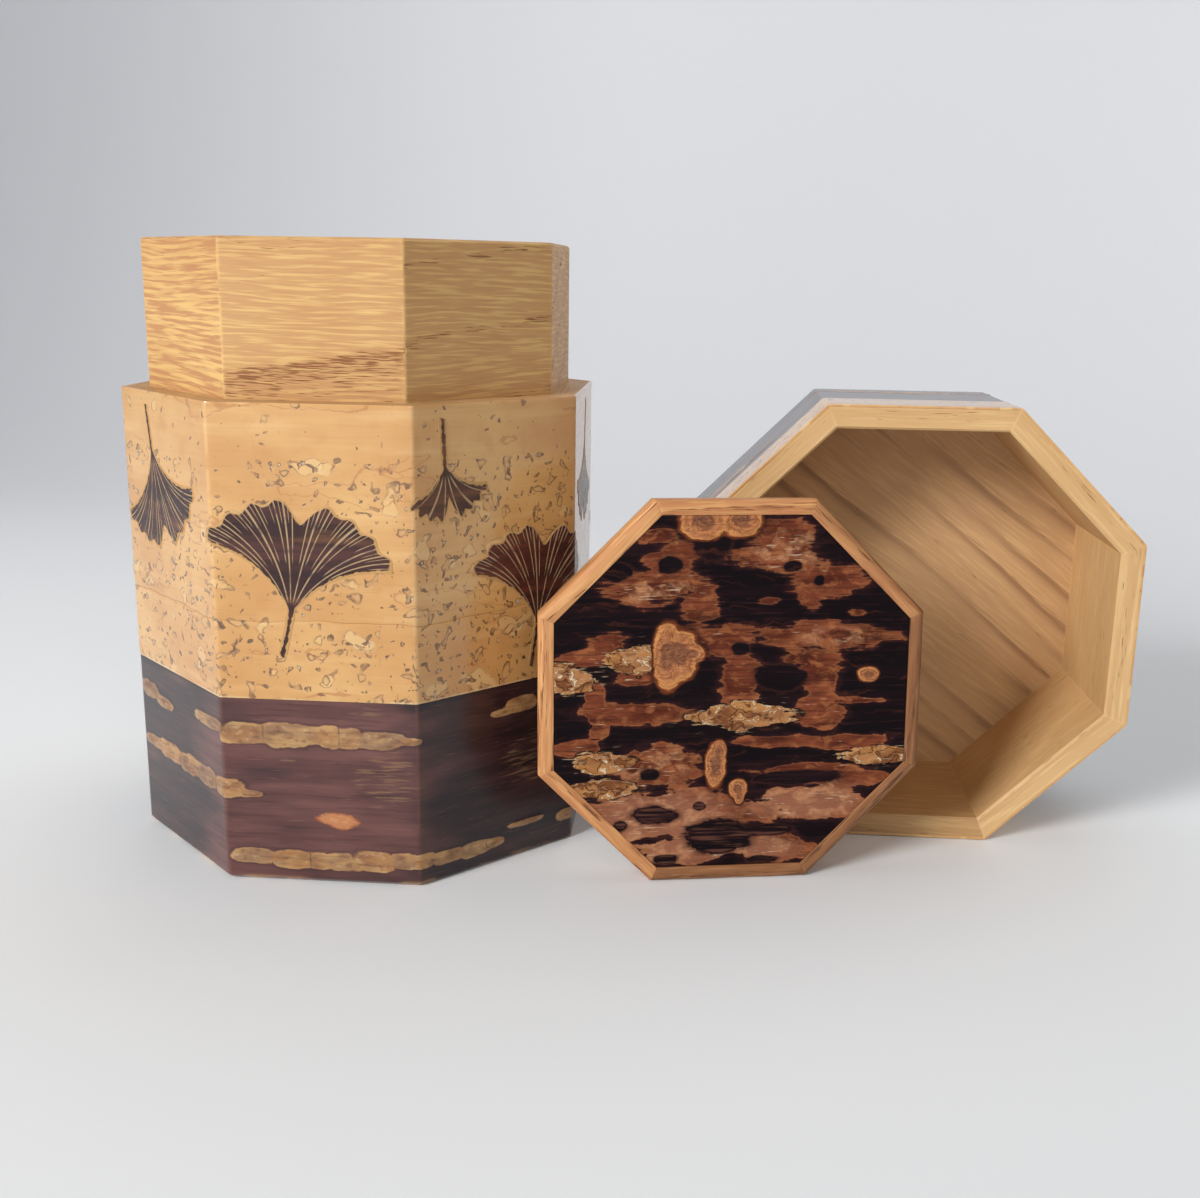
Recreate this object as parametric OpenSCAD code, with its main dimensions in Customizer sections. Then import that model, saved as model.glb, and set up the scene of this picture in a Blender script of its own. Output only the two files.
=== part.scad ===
// Eight-sided tea caddy of wood staves, faced with cherry bark.
// It stands open: the outer lid lies on one side beside it, and the inner lid stands on its edge in front.
// All sizes are in millimetres. The origin is the middle of the foot, and +Z is up.

/* [Body] */
// Width of the body across its flat faces, over the bark
body_across = 84; // [76:0.5:96]
// Height of the body from the table to the ledge under the neck
body_h = 85; // [80:0.5:110]
// Thickness of the wood staves behind the bark of the body
body_stave_t = 4.1; // [3:0.1:6]
// Thickness of the base board
base_t = 7; // [4:0.5:12]
// Radius of the rounded edge round the foot
foot_round = 1.6; // [0.8:0.1:2.4]
// Radius of the rounded corners where two bark faces meet
bark_corner_round = 1; // [0.4:0.1:1.6]

/* [Neck] */
// Height of the neck above the ledge
neck_h = 26.5; // [16:0.5:36]
// Thickness of the neck staves
neck_wall = 2.85; // [2:0.05:5]
// Radius of the softened corners of the neck
neck_corner_round = 0.8; // [0.3:0.1:1.5]
// Bevel on the bare wood edges of the neck and of the lid's mouth
edge_bevel = 0.4; // [0.2:0.1:0.8]

/* [Bark] */
// Thickness of the bark sheets
bark_t = 0.6; // [0.3:0.1:1]
// Height of the dark bark band round the foot
dark_band_h = 34; // [24:1:42]
// Height of the seam between the two pale bark strips
pale_seam_z = 48; // [45:1:60]
// Height of the pale bark strip round the lid's mouth
lid_pale_h = 12.5; // [8:0.5:18]

/* [Outer lid] */
// Gap between the neck and the lid on each side
lid_clear = 0.2; // [0.1:0.05:0.5]
// Thickness of the lid's top board
lid_top_t = 5; // [3:0.5:8]
// Free height over the inner lid when the caddy is closed
lid_headroom = 2.5; // [1:0.5:6]
// Radius of the rounded edge round the lid's top
lid_round = 2; // [0.8:0.1:3]

/* [Inner lid] */
// Thickness of the inner lid
plug_t = 6.4; // [5:0.1:9]
// Slope of the inner lid's edges, in degrees
plug_taper = 4; // [2:0.5:5]
// Width of the edging strips on the bark side
plug_edge_w = 2.8; // [2:0.1:5]
// How far the inner lid stands above the neck when it is pressed in
plug_proud = 2; // [1:0.5:3]

/* [Leaf inlay] */
// Longest radius of a fan-shaped leaf
leaf_r = 20; // [14:0.5:21]
// Half of the angle that a leaf opens to
leaf_spread = 58; // [45:1:66]
// Depth of the notch in the middle of a leaf
leaf_notch = 4; // [1:0.5:7]
// Height of the waves along a leaf's rim
leaf_wave = 0.45; // [0.2:0.05:1]
// Length of a leaf's stalk
stalk_l = 7; // [4:0.5:8]
// Width of a leaf's stalk
stalk_w = 1.4; // [1:0.1:2]
// Least distance from a stalk's end to the edge of the pale band
leaf_margin = 2; // [1:0.5:4]

/* [Placing] */
// Free space on the table between the body and the outer lid
lid_gap = 20.8; // [18:0.1:60]
// How far the lid's mouth lies in front of the body's axis
lid_ahead = 10.1; // [0:0.1:30]
// How far the inner lid stands in front of the lid's mouth
plug_ahead = 23; // [20:0.1:60]
// How far the inner lid stands to the left of the lid's axis
plug_left = 32.8; // [0:0.1:34]
// Turn of the inner lid on the table, in degrees
plug_turn = 10.7; // [0:0.1:14]

/* [Hidden] */
faces = 8;
face_step = 360 / faces;
half_step = face_step / 2;
front_angle = -90;
overshoot = 1;
arc_steps = 3;
round_sides = 48;

// Body and neck, from the outside in
core_across = body_across - 2 * bark_t;
neck_across = core_across - 2 * body_stave_t;
neck_bore = neck_across - 2 * neck_wall;
neck_top = body_h + neck_h;
face_w = body_across * tan(half_step);

// Outer lid, measured from its mouth
lid_bore = neck_across + 2 * lid_clear;
lid_depth = neck_h + plug_proud + lid_headroom;
lid_wood_h = lid_depth + lid_top_t;
lid_h = lid_wood_h + bark_t;
lid_x = body_across + lid_gap;

// Inner lid, measured from its bark face
plug_face = neck_bore + 2 * plug_proud * tan(plug_taper);
plug_back = plug_face - 2 * plug_t * tan(plug_taper);
plug_panel = plug_face - 2 * plug_edge_w;

// Leaf places: distance round the body from the middle of the front face, in faces,
// whether the stalk hangs from the top of the band, the lift from the band's edge and the size
// as shares of the longest radius, and the turn in degrees
leaf_places = [
    [-0.12, false, 0.26, 1.00, 8],
    [0.68, true, 0, 0.50, 172],
    [1.25, false, 0, 0.95, 6],
    [2.05, true, 0, 0.80, 188],
    [3.00, false, 0.2, 1.00, -7],
    [3.85, true, 0.05, 0.65, 172],
    [-3.25, false, 0.1, 0.95, 7],
    [-2.45, true, 0, 0.70, 186],
    [-1.85, false, 0, 0.70, 6],
    [-1.15, true, 0, 0.90, 165],
];
leaves = len(leaf_places);
stalk_reach = stalk_l + stalk_w / 2;
leaf_steps = 44;
leaf_waves = 9;
notch_w = 0.09;
side_steps = [0.8, 0.55, 0.3];
base_spread = 0.45;

// Stave 1 is at the front, and the numbers run round to the right
function face_angle(i) = front_angle + face_step * (i - 1);

// An eight-sided outline with its flat faces square to the axes
module octagon(across) {
    rotate(half_step)
        circle(d = across / cos(half_step), $fn = faces);
}

// The same outline with rounded corners
module soft_octagon(across, r) {
    centre_r = (across / 2 - r) / cos(half_step);
    polygon([
        for (k = [0:faces - 1])
            for (s = [-arc_steps:arc_steps])
                let (corner = half_step + k * face_step, a = corner + s * half_step / arc_steps)
                    [centre_r * cos(corner) + r * cos(a), centre_r * sin(corner) + r * sin(a)]
    ]);
}

// A profile of (distance from the axis, height), run along one face of the octagon
module along_face(length) {
    rotate([90, 0, 0])
        linear_extrude(length, center = true)
            children();
}

// The wedge of the octagon that one stave fills, cut at its two mitres
module mitre_wedge(reach, z0, z1) {
    half = reach * tan(half_step);
    translate([0, 0, z0])
        linear_extrude(z1 - z0)
            polygon([[0, 0], [reach, -half], [reach, half]]);
}

// One mitred stave whose profile is the child outline
module mitred_stave(i, across, z0, z1) {
    rotate([0, 0, face_angle(i)])
        intersection() {
            along_face(across)
                children();
            mitre_wedge(across, z0 - overshoot, z1 + overshoot);
        }
}

// The waste outside a rounded edge at the foot of an octagon, taken off every face
module round_edge_waste(across, r) {
    for (k = [1:faces])
        rotate([0, 0, face_angle(k)])
            along_face(across)
                difference() {
                    translate([across / 2 - r, -overshoot])
                        square([r + overshoot, r + overshoot]);
                    translate([across / 2 - r, r])
                        circle(r, $fn = round_sides);
                }
}

// The same waste round the top of the lid
module lid_edge_waste() {
    translate([0, 0, lid_h])
        mirror([0, 0, 1])
            round_edge_waste(body_across, lid_round);
}

// A closed band of bark round the octagon
module bark_ring(z0, z1) {
    translate([0, 0, z0])
        linear_extrude(z1 - z0)
            difference() {
                soft_octagon(body_across, bark_corner_round);
                octagon(core_across);
            }
}

// Outline of a fan-shaped leaf with its stalk, pointing up from the joint of the two
function fan_radius(r, t) =
    r + leaf_wave * cos(180 * leaf_waves * t) - leaf_notch * exp(-pow(t / notch_w, 2));
function fan_point(r, angle) = [r * sin(angle), r * cos(angle)];
function fan_side(r, side) = [
    for (f = side_steps)
        fan_point(f * r, side * leaf_spread * (base_spread + (1 - base_spread) * f))
];
function reversed(list) = [for (i = [len(list) - 1:-1:0]) list[i]];

module leaf_outline(r) {
    rim = [
        for (n = [0:leaf_steps])
            let (t = 1 - 2 * n / leaf_steps)
                fan_point(fan_radius(r, t), t * leaf_spread)
    ];
    polygon(concat(
        [[stalk_w / 2, 0]],
        reversed(fan_side(r, 1)),
        rim,
        fan_side(r, -1),
        [[-stalk_w / 2, 0], [-stalk_w, -stalk_l], [0, -stalk_reach]]
    ));
}

// Height of the joint of a leaf and its stalk
function leaf_joint_z(place) =
    let (inset = leaf_margin + stalk_reach + place[2] * leaf_r)
        place[1] ? body_h - inset : dark_band_h + inset;

// The space of one leaf, folded round the corners of the body
module leaf_space(i) {
    place = leaf_places[i - 1];
    reach = leaf_r + stalk_reach + face_w / 2;
    for (k = [-faces / 2:faces / 2]) {
        along = (place[0] - k) * face_w;
        if (abs(along) < reach)
            rotate([0, 0, face_step * k])
                translate([0, overshoot - body_across / 2, 0])
                    rotate([90, 0, 0])
                        linear_extrude(2 * overshoot)
                            intersection() {
                                translate([along, leaf_joint_z(place)])
                                    rotate(-place[4])
                                        leaf_outline(place[3] * leaf_r);
                                translate([-face_w / 2, 0])
                                    square([face_w, body_h]);
                            }
    }
}

// Where the outer lid lies on its side, with its mouth to the front
module lid_place() {
    translate([lid_x, -lid_ahead, body_across / 2])
        rotate([-90, 0, 0])
            children();
}

// Where the inner lid stands on one sloped edge, with its bark face to the front
module plug_place() {
    translate([lid_x - plug_left, -lid_ahead - plug_ahead, 0])
        rotate([0, 0, plug_turn])
            translate([0, plug_face / 2 * sin(plug_taper), plug_face / 2 * cos(plug_taper)])
                rotate([90 - plug_taper, 0, 0])
                    children();
}

// Board that closes the foot and carries the neck staves
module base_board() {
    color("#b98a4c")
        linear_extrude(base_t)
            octagon(neck_across);
}

// Outer staves of the body, behind the bark
module body_stave(i) {
    color("#c79a58")
        difference() {
            mitred_stave(i, body_across, 0, body_h)
                translate([neck_across / 2, 0])
                    square([body_stave_t, body_h]);
            round_edge_waste(body_across, foot_round);
        }
}

// Staves that line the body and rise above it as the neck
module neck_stave(i) {
    inner = neck_bore / 2;
    outer = neck_across / 2;
    color("#d0a25c")
        intersection() {
            mitred_stave(i, neck_across, base_t, neck_top)
                polygon([
                    [inner, base_t],
                    [outer, base_t],
                    [outer, neck_top - edge_bevel],
                    [outer - edge_bevel, neck_top],
                    [inner + edge_bevel, neck_top],
                    [inner, neck_top - edge_bevel],
                ]);
            linear_extrude(neck_top + overshoot)
                soft_octagon(neck_across, neck_corner_round);
        }
}

// Polished dark bark round the foot
module dark_bark_band() {
    foot_edge = foot_round - sqrt(foot_round ^ 2 - max(foot_round - bark_t, 0) ^ 2);
    color("#3a2420")
        difference() {
            bark_ring(foot_edge, dark_band_h);
            round_edge_waste(body_across, foot_round);
        }
}

// Pale bark strip, cut out where the leaves are let in
module pale_bark(z0, z1) {
    color("#c9953f")
        difference() {
            bark_ring(z0, z1);
            for (i = [1:leaves])
                leaf_space(i);
        }
}

// Strip under the seam
module pale_bark_lower() {
    pale_bark(dark_band_h, pale_seam_z);
}

// Strip over the seam
module pale_bark_upper() {
    pale_bark(pale_seam_z, body_h);
}

// Fan-shaped leaf of dark bark, let into the pale bark
module leaf_inlay(i) {
    color("#402019")
        intersection() {
            bark_ring(dark_band_h, body_h);
            leaf_space(i);
        }
}

// Staves of the outer lid, with a bevel round the mouth
module lid_stave(i) {
    inner = lid_bore / 2;
    outer = core_across / 2;
    color("#d3a765")
        lid_place()
            difference() {
                mitred_stave(i, body_across, 0, lid_wood_h)
                    polygon([
                        [inner + edge_bevel, 0],
                        [outer, 0],
                        [outer, lid_wood_h],
                        [inner, lid_wood_h],
                        [inner, edge_bevel],
                    ]);
                lid_edge_waste();
            }
}

// Board that closes the outer lid
module lid_top_board() {
    color("#c49a58")
        lid_place()
            translate([0, 0, lid_depth])
                linear_extrude(lid_top_t)
                    octagon(lid_bore);
}

// Pale bark round the lid's mouth
module lid_pale_bark() {
    color("#c9953f")
        lid_place()
            bark_ring(0, lid_pale_h);
}

// Dark bark round the upper part of the lid
module lid_dark_bark() {
    color("#3a2420")
        lid_place()
            difference() {
                bark_ring(lid_pale_h, lid_wood_h);
                lid_edge_waste();
            }
}

// Dark bark sheet on the lid's top
module lid_top_bark() {
    color("#3a2420")
        lid_place()
            difference() {
                translate([0, 0, lid_wood_h])
                    linear_extrude(bark_t)
                        soft_octagon(body_across, bark_corner_round);
                lid_edge_waste();
            }
}

// Core board of the inner lid
module inner_lid_board() {
    color("#c79a58")
        plug_place()
            translate([0, 0, -plug_t])
                linear_extrude(plug_t - bark_t)
                    octagon(plug_panel);
}

// Sloped edging strips round the inner lid
module inner_lid_edge(i) {
    inner = plug_panel / 2;
    color("#b3743c")
        plug_place()
            mitred_stave(i, plug_face, -plug_t, 0)
                polygon([
                    [inner, -plug_t],
                    [plug_back / 2, -plug_t],
                    [plug_face / 2, 0],
                    [inner, 0],
                ]);
}

// Figured bark on the face of the inner lid
module inner_lid_bark() {
    color("#4a2a20")
        plug_place()
            translate([0, 0, -bark_t])
                linear_extrude(bark_t)
                    octagon(plug_panel);
}

base_board();
for (i = [1:faces]) body_stave(i);
for (i = [1:faces]) neck_stave(i);
dark_bark_band();
pale_bark_lower();
pale_bark_upper();
for (i = [1:leaves]) leaf_inlay(i);
for (i = [1:faces]) lid_stave(i);
lid_top_board();
lid_pale_bark();
lid_dark_bark();
lid_top_bark();
inner_lid_board();
for (i = [1:faces]) inner_lid_edge(i);
inner_lid_bark();
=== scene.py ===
# %% [markdown]
# # An eight-sided tea caddy in cherry bark
# The caddy is a tube of thin wood staves, mitred and glued, and faced with sheets of polished cherry bark.
# It stands open: a bare wooden neck rises from the body, the outer lid lies on its side, and the inner lid
# stands on its edge. The CAD frame already holds every piece at its real size, so this lesson only dresses
# it. Wood pieces keep their CAD shape and get a grain. Bark pieces are modelled again, because bark has a
# relief that flat solids lack.

# %% Load the frame and keep its box
import math

import bmesh
import bpy
import numpy as np
from mathutils import Matrix, Vector


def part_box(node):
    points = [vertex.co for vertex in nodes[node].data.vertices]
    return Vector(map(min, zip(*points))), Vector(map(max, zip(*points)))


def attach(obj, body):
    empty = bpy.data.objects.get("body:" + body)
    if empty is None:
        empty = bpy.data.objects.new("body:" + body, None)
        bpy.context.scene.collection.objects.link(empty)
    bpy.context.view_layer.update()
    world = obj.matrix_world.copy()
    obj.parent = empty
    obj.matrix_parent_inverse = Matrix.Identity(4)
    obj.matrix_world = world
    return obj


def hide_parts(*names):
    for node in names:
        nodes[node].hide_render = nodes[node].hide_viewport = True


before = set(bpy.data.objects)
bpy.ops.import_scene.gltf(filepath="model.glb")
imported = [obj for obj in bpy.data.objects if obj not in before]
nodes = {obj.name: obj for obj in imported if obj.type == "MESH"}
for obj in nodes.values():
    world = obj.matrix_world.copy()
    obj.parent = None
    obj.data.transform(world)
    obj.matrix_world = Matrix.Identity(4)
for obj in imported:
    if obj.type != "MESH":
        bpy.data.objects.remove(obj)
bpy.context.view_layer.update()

print("CAD nodes:", len(nodes))

# %% [markdown]
# ## Measures
# Nothing here is typed twice: the width of the body, the height of each bark band and the places of the
# lids are read from the CAD nodes. Blender works in metres, so a millimetre gets a name of its own.

# %% Measures of the body, the lid and the inner lid
MM = 0.001
UP = Vector((0, 0, 1))
SIDES = 8
EIGHTH = 2 * math.pi / SIDES

dark_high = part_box("dark_bark_band")[1]
pale_low, pale_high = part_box("pale_bark_upper")
HALF = dark_high.x
BAND_TOP, SEAM_Z, LEDGE_Z = dark_high.z, pale_low.z, pale_high.z
FACE_W = 2 * HALF * math.tan(EIGHTH / 2)
GIRTH = SIDES * FACE_W
CORE_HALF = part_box("body_stave_3")[1].x

lid_low, lid_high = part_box("lid_pale_bark")
LID_PALE = lid_high.y - lid_low.y
LID_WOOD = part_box("lid_dark_bark")[1].y - lid_low.y
LID_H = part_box("lid_top_bark")[1].y - lid_low.y
lid_middle = Vector((lid_low.x + lid_high.x, 2 * lid_low.y, lid_low.z + lid_high.z)) / 2
LID_PLACE = Matrix.Translation(lid_middle) @ Matrix.Rotation(-math.pi / 2, 4, "X")


def front_face_place(node):
    """The flat face that looks most to the front, as a matrix, and half of its width.
    In the matrix, X is level, Y runs up the face and Z points out."""
    mesh = nodes[node].data
    face = min(mesh.polygons, key=lambda f: f.normal.y * (f.area > 1e-5))
    out = face.normal.normalized()
    level = UP.cross(out).normalized()
    rise = out.cross(level)
    points = [v.co for v in mesh.vertices if abs((v.co - face.center).dot(out)) < 0.05 * MM]
    spans = [[p.dot(axis) for p in points] for axis in (level, rise, out)]
    middle = [(min(span) + max(span)) / 2 for span in spans]
    turn = Matrix((level, rise, out)).transposed()
    place = Matrix.Translation(turn @ Vector(middle)) @ turn.to_4x4()
    return place, (max(spans[0]) - min(spans[0])) / 2


PLUG_PLACE, PANEL_HALF = front_face_place("inner_lid_bark")
print("face width", round(FACE_W / MM, 2), "mm; inner lid panel", round(2 * PANEL_HALF / MM, 2), "mm across")

# %% [markdown]
# ## Camera
# The camera was worked out from the corners of the caddy and its lids as a photograph shows them: it stands
# a little above the caddy's neck, to the right of its middle, and looks down by some 14 degrees.

# %% Camera
CAMERA_AT = Vector((64.06, -257.9, 106.6)) * MM
CAMERA_LEFT, CAMERA_DOWN, CAMERA_ROLL = 4.114, 13.715, 0.866

scene = bpy.context.scene
optics = bpy.data.cameras.new("camera")
optics.lens = 40.185
optics.sensor_width = 36
optics.clip_start = 0.01
camera = bpy.data.objects.new("camera", optics)
camera.matrix_world = (
    Matrix.Translation(CAMERA_AT)
    @ Matrix.Rotation(math.radians(CAMERA_LEFT), 4, "Z")
    @ Matrix.Rotation(math.radians(90 - CAMERA_DOWN), 4, "X")
    @ Matrix.Rotation(math.radians(CAMERA_ROLL), 4, "Z")
)
scene.collection.objects.link(camera)
scene.camera = camera
print("camera at", [round(v / MM) for v in camera.location], "mm")

# %% [markdown]
# ## Wiring materials
# A material is a tree of nodes. Written out node by node it gets long, so a small helper adds a node, fills
# its inlets and hands back its outlets as wires. Wires can be added, subtracted and multiplied like
# numbers, and each such step adds a Math node. Colours are written as they look on a screen, and turned
# into the linear light that Blender works in.

# %% Wires that add nodes
def tint(code):
    """A screen colour such as #c79a58 as linear light."""
    levels = [int(code[i : i + 2], 16) / 255 for i in (1, 3, 5)]
    return (*[v / 12.92 if v <= 0.04045 else ((v + 0.055) / 1.055) ** 2.4 for v in levels], 1)


class Wire:
    """An outlet of a node that can be used like a number."""

    def __init__(self, wiring, socket):
        self.wiring = wiring
        self.socket = socket

    def __add__(self, other):
        return self.wiring.math("ADD", self, other)

    def __sub__(self, other):
        return self.wiring.math("SUBTRACT", self, other)

    def __rsub__(self, other):
        return self.wiring.math("SUBTRACT", other, self)

    def __mul__(self, other):
        return self.wiring.math("MULTIPLY", self, other)

    def rise(self, low, high):
        """A smooth rise from 0 at low to 1 at high. It falls if low is above high."""
        settings = {"interpolation_type": "SMOOTHSTEP"}
        return self.wiring.node("MapRange", settings, Value=self, From_Min=low, From_Max=high)["Result"]


class Wiring:
    """Adds nodes to one tree."""

    def __init__(self, tree):
        self.tree = tree

    def feed(self, inlet, value):
        """Links a wire to an inlet, or sets the inlet to a number, a vector or a screen colour."""
        if isinstance(value, Wire):
            self.tree.links.new(value.socket, inlet)
        else:
            inlet.default_value = tint(value) if isinstance(value, str) else value

    def fill(self, inlets, **values):
        """Feeds inlets by name."""
        for key, value in values.items():
            self.feed(inlets[key.replace("_", " ")], value)

    def node(self, kind, settings=None, *values, **named):
        """Adds a node, fills its inlets in order and by name, and hands back its outlets by name."""
        node = self.tree.nodes.new("ShaderNode" + kind)
        for key, value in (settings or {}).items():
            setattr(node, key, value)
        for inlet, value in zip(node.inputs, values):
            self.feed(inlet, value)
        self.fill(node.inputs, **named)
        return {outlet.name: Wire(self, outlet) for outlet in node.outputs}

    def math(self, operation, *values):
        return self.node("Math", {"operation": operation}, *values)["Value"]

    def vector(self, operation, first, second, outlet="Vector"):
        return self.node("VectorMath", {"operation": operation}, first, second)[outlet]

    def sheet(self, name):
        """Where a point lies on a flat map, in metres."""
        return self.node("UVMap", {"uv_map": name})["UV"]

    def painted(self, name):
        """The number that was stored on the mesh under this name."""
        return self.node("Attribute", {"attribute_name": name})["Fac"]

    def group(self, name, **inlets):
        return self.node("Group", {"node_tree": bpy.data.node_groups[name]}, **inlets)

    def noise(self, place, scale, detail=2.0, roughness=0.55, outlet="Fac"):
        """Smooth noise. The scale says how fine it is, for all ways alike or for each way by itself."""
        if isinstance(scale, tuple):
            place = self.vector("MULTIPLY", place, (*scale, 1)[:3])
            scale = 1.0
        return self.node("TexNoise", Vector=place, Scale=scale, Detail=detail, Roughness=roughness)[outlet]

    def wobbled(self, place, scale, amount):
        """The place pushed about by noise, by up to half of the amount in metres."""
        push = self.vector("ADD", self.noise(place, scale, outlet="Color"), (-0.5, -0.5, -0.5))
        return self.vector("ADD", place, self.vector("MULTIPLY", push, (amount, amount, amount)))

    def mix(self, share, base, over):
        """The base colour where the share is 0, and the other where it is 1."""
        node = self.tree.nodes.new("ShaderNodeMix")
        node.data_type = "RGBA"
        for number, value in ((0, share), (6, base), (7, over)):
            self.feed(node.inputs[number], value)
        return Wire(self, node.outputs[2])

    def layers(self, colour, *coats):
        """A colour with coats over it, each with a mask and a colour of its own."""
        for mask, over in coats:
            colour = self.mix(mask, colour, over)
        return colour

    def bump(self, height, depth, **below):
        """A normal that follows the height, which is worth depth in metres."""
        return self.node("Bump", Height=height, Distance=depth, Strength=1.0, **below)["Normal"]


def new_group(name, inlets, outlets):
    """An empty node group: its wiring, the wires that come in and the inlets of its output node."""
    tree = bpy.data.node_groups.new(name, "ShaderNodeTree")
    for label, start in inlets.items():
        kind = "NodeSocketVector" if start is None else "NodeSocketFloat"
        socket = tree.interface.new_socket(name=label, in_out="INPUT", socket_type=kind)
        if start is not None:
            socket.default_value = start
    for label in outlets:
        tree.interface.new_socket(name=label, in_out="OUTPUT", socket_type="NodeSocketFloat")
    wires = Wiring(tree)
    source = tree.nodes.new("NodeGroupInput").outputs
    sink = tree.nodes.new("NodeGroupOutput").inputs
    return wires, {outlet.name: Wire(wires, outlet) for outlet in source}, sink


def new_material(name, **shine):
    """An empty material, its wiring and its shader's inlets. What stays even over it is set at once."""
    material = bpy.data.materials.new(name)
    material.use_nodes = True
    wires = Wiring(material.node_tree)
    surface = material.node_tree.nodes["Principled BSDF"].inputs
    wires.fill(surface, **shine)
    return material, wires, surface


print("wiring helper ready")

# %% [markdown]
# ## Stage and light
# The caddy stands on a pale sweep: a floor that curves up into a backdrop, so that no horizon shows. It is
# a plane whose back edge is extruded up and whose fold is bevelled. The light is a soft window to the front
# left, with weaker ones in front, overhead and behind. The room itself gives little light, so shadows stay,
# but it shows pale to the camera and in reflections, which the Light Path node tells apart.

# %% The sweep
FLOOR_SIZE, BACKDROP_Y, BACKDROP_H, SWEEP_R = 4.0, 0.85, 1.4, 0.5
FLOOR_DROP, NEAR = 0.05 * MM, 0.01


def started(name, add, **settings):
    """Deselects everything, adds a primitive with its place in its mesh, and names it."""
    bpy.ops.object.select_all(action="DESELECT")
    add(**settings)
    bpy.ops.object.transform_apply(location=True, rotation=True, scale=True)
    piece = bpy.context.object
    piece.name = name
    return piece


def pick(piece, kind, test):
    """In edit mode, selects the vertices or the edges that pass the test."""
    bpy.ops.mesh.select_mode(type=kind)
    bpy.ops.mesh.select_all(action="DESELECT")
    bm = bmesh.from_edit_mesh(piece.data)
    bm.select_mode = {kind}
    for item in bm.verts if kind == "VERT" else bm.edges:
        if test(item):
            item.select_set(True)
    bm.select_flush_mode()
    bmesh.update_edit_mesh(piece.data)


floor_middle = (0, BACKDROP_Y - FLOOR_SIZE / 2, -FLOOR_DROP)
sweep = started("sweep", bpy.ops.mesh.primitive_plane_add, size=FLOOR_SIZE, location=floor_middle)
bpy.ops.object.mode_set(mode="EDIT")
pick(sweep, "VERT", lambda v: v.co.y > BACKDROP_Y - NEAR)
bpy.ops.mesh.extrude_region_move(TRANSFORM_OT_translate={"value": (0, 0, BACKDROP_H)})
pick(sweep, "VERT", lambda v: v.co.y > BACKDROP_Y - NEAR and v.co.z < NEAR)
bpy.ops.mesh.bevel(offset=SWEEP_R, segments=24, affect="EDGES")
bpy.ops.object.mode_set(mode="OBJECT")
bpy.ops.object.shade_smooth()

paper, wires, surface = new_material("sweep_paper", Roughness=0.9)
place = wires.node("TexCoord")["Object"]
ways = wires.node("SeparateXYZ", Vector=place)
# The backdrop is painted darker to the left and paler to the right, painted shade and light for how the
# window's light falls on it. The floor in front keeps one pale colour.
wall = wires.layers(
    "#c0c1c5", (ways["X"].rise(-0.55, 0.05), "#e8e9ec"), (ways["X"].rise(0.1, 0.7), "#eeeff2")
)
paper_with_painted_shade = wires.mix(ways["Y"].rise(0.02, 0.5), "#eff1f2", wall)
wires.fill(surface, Base_Color=wires.mix(wires.noise(place, 30.0) * 0.02, paper_with_painted_shade, "#ffffff"))
sweep.data.materials.append(paper)
print("sweep of", len(sweep.data.polygons), "faces")

# %% Lamps and room light
AIM = Vector((55, 0, 50)) * MM
# place and size in metres, power in watts
WINDOWS = {
    "window_left": ((-0.84, -1.02, 0.66), 0.45, 18.6),
    "window_front": ((0.30, -1.40, 0.80), 1.0, 4.4),
    "window_top": ((0.1, 0.30, 1.2), 1.0, 3.0),
    "window_behind": ((0.95, 0.60, 0.55), 0.6, 2.0),
}
ROOM_LIGHT, ROOM_SEEN = 0.12, 0.70

for name, (place, size, power) in WINDOWS.items():
    lamp = bpy.data.lights.new(name, "AREA")
    lamp.size = size
    lamp.energy = power
    window = bpy.data.objects.new(name, lamp)
    window.location = place
    window.visible_camera = False
    window.rotation_euler = (AIM - Vector(place)).to_track_quat("-Z", "Y").to_euler()
    scene.collection.objects.link(window)

room = bpy.data.worlds.new("room")
room.use_nodes = True
wires = Wiring(room.node_tree)
rays = wires.node("LightPath")
seen = wires.math("MAXIMUM", rays["Is Camera Ray"], rays["Is Glossy Ray"])
seen = wires.math("MAXIMUM", seen, rays["Is Transmission Ray"])
backdrop = room.node_tree.nodes["Background"].inputs
wires.fill(backdrop, Color="#f4f6fb", Strength=seen * (ROOM_SEEN - ROOM_LIGHT) + ROOM_LIGHT)
scene.world = room
scene.view_settings.view_transform = "Standard"
print("lamps:", list(WINDOWS))

# %% [markdown]
# ## Wood grain
# The staves are of an open-pored, ring-porous wood such as ash. Three things make it look so: fine fibres
# along the grain, lighter and pinker streaks a little wider than the fibres, and rows of dark pores where
# each year's growth begins and then thins out. One node group draws all three along its X axis, and each
# stave turns and moves the group so that no two staves look alike. An image of wood would repeat and has no
# depth, so the grain is worked out instead.

# %% Node group: open-pored wood
PLAIN_GRAIN = dict(Bands=70.0, Slope=0.2, Sharp=0.93, Fade=2.0, Curl=0.3, Pores=0.6, Lines=1.0)

wires, given, out = new_group(
    "Open-pored wood", {"Vector": None, **PLAIN_GRAIN}, ["Tone", "Early", "Pore", "Height"]
)
ways = wires.node("SeparateXYZ", Vector=given["Vector"])
swayed = (wires.noise(given["Vector"], (14, 45, 45)) - 0.5) * 0.006 + ways["Z"]
laid = wires.node("CombineXYZ", X=ways["X"], Y=ways["Y"], Z=swayed)["Vector"]
bars = wires.noise(laid, (85, 1500, 1500))
streak = wires.noise(laid, (100, 1900, 1900))
fibre = wires.noise(laid, (170, 3800, 3800))
dash = wires.noise(laid, (250, 4600, 4600), 1.0)
height = (streak - 0.5) * 0.0022 + (ways["X"] * given["Slope"] + swayed)
growth = wires.math("FRACT", height * given["Bands"])
early = wires.math("POWER", growth, given["Fade"]) * growth.rise(1.0, given["Sharp"])
pore = (dash + early * given["Pores"] * 0.36).rise(0.78, 0.90)
lines = (streak.rise(0.46, 0.64) - 0.4) * given["Lines"]
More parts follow.
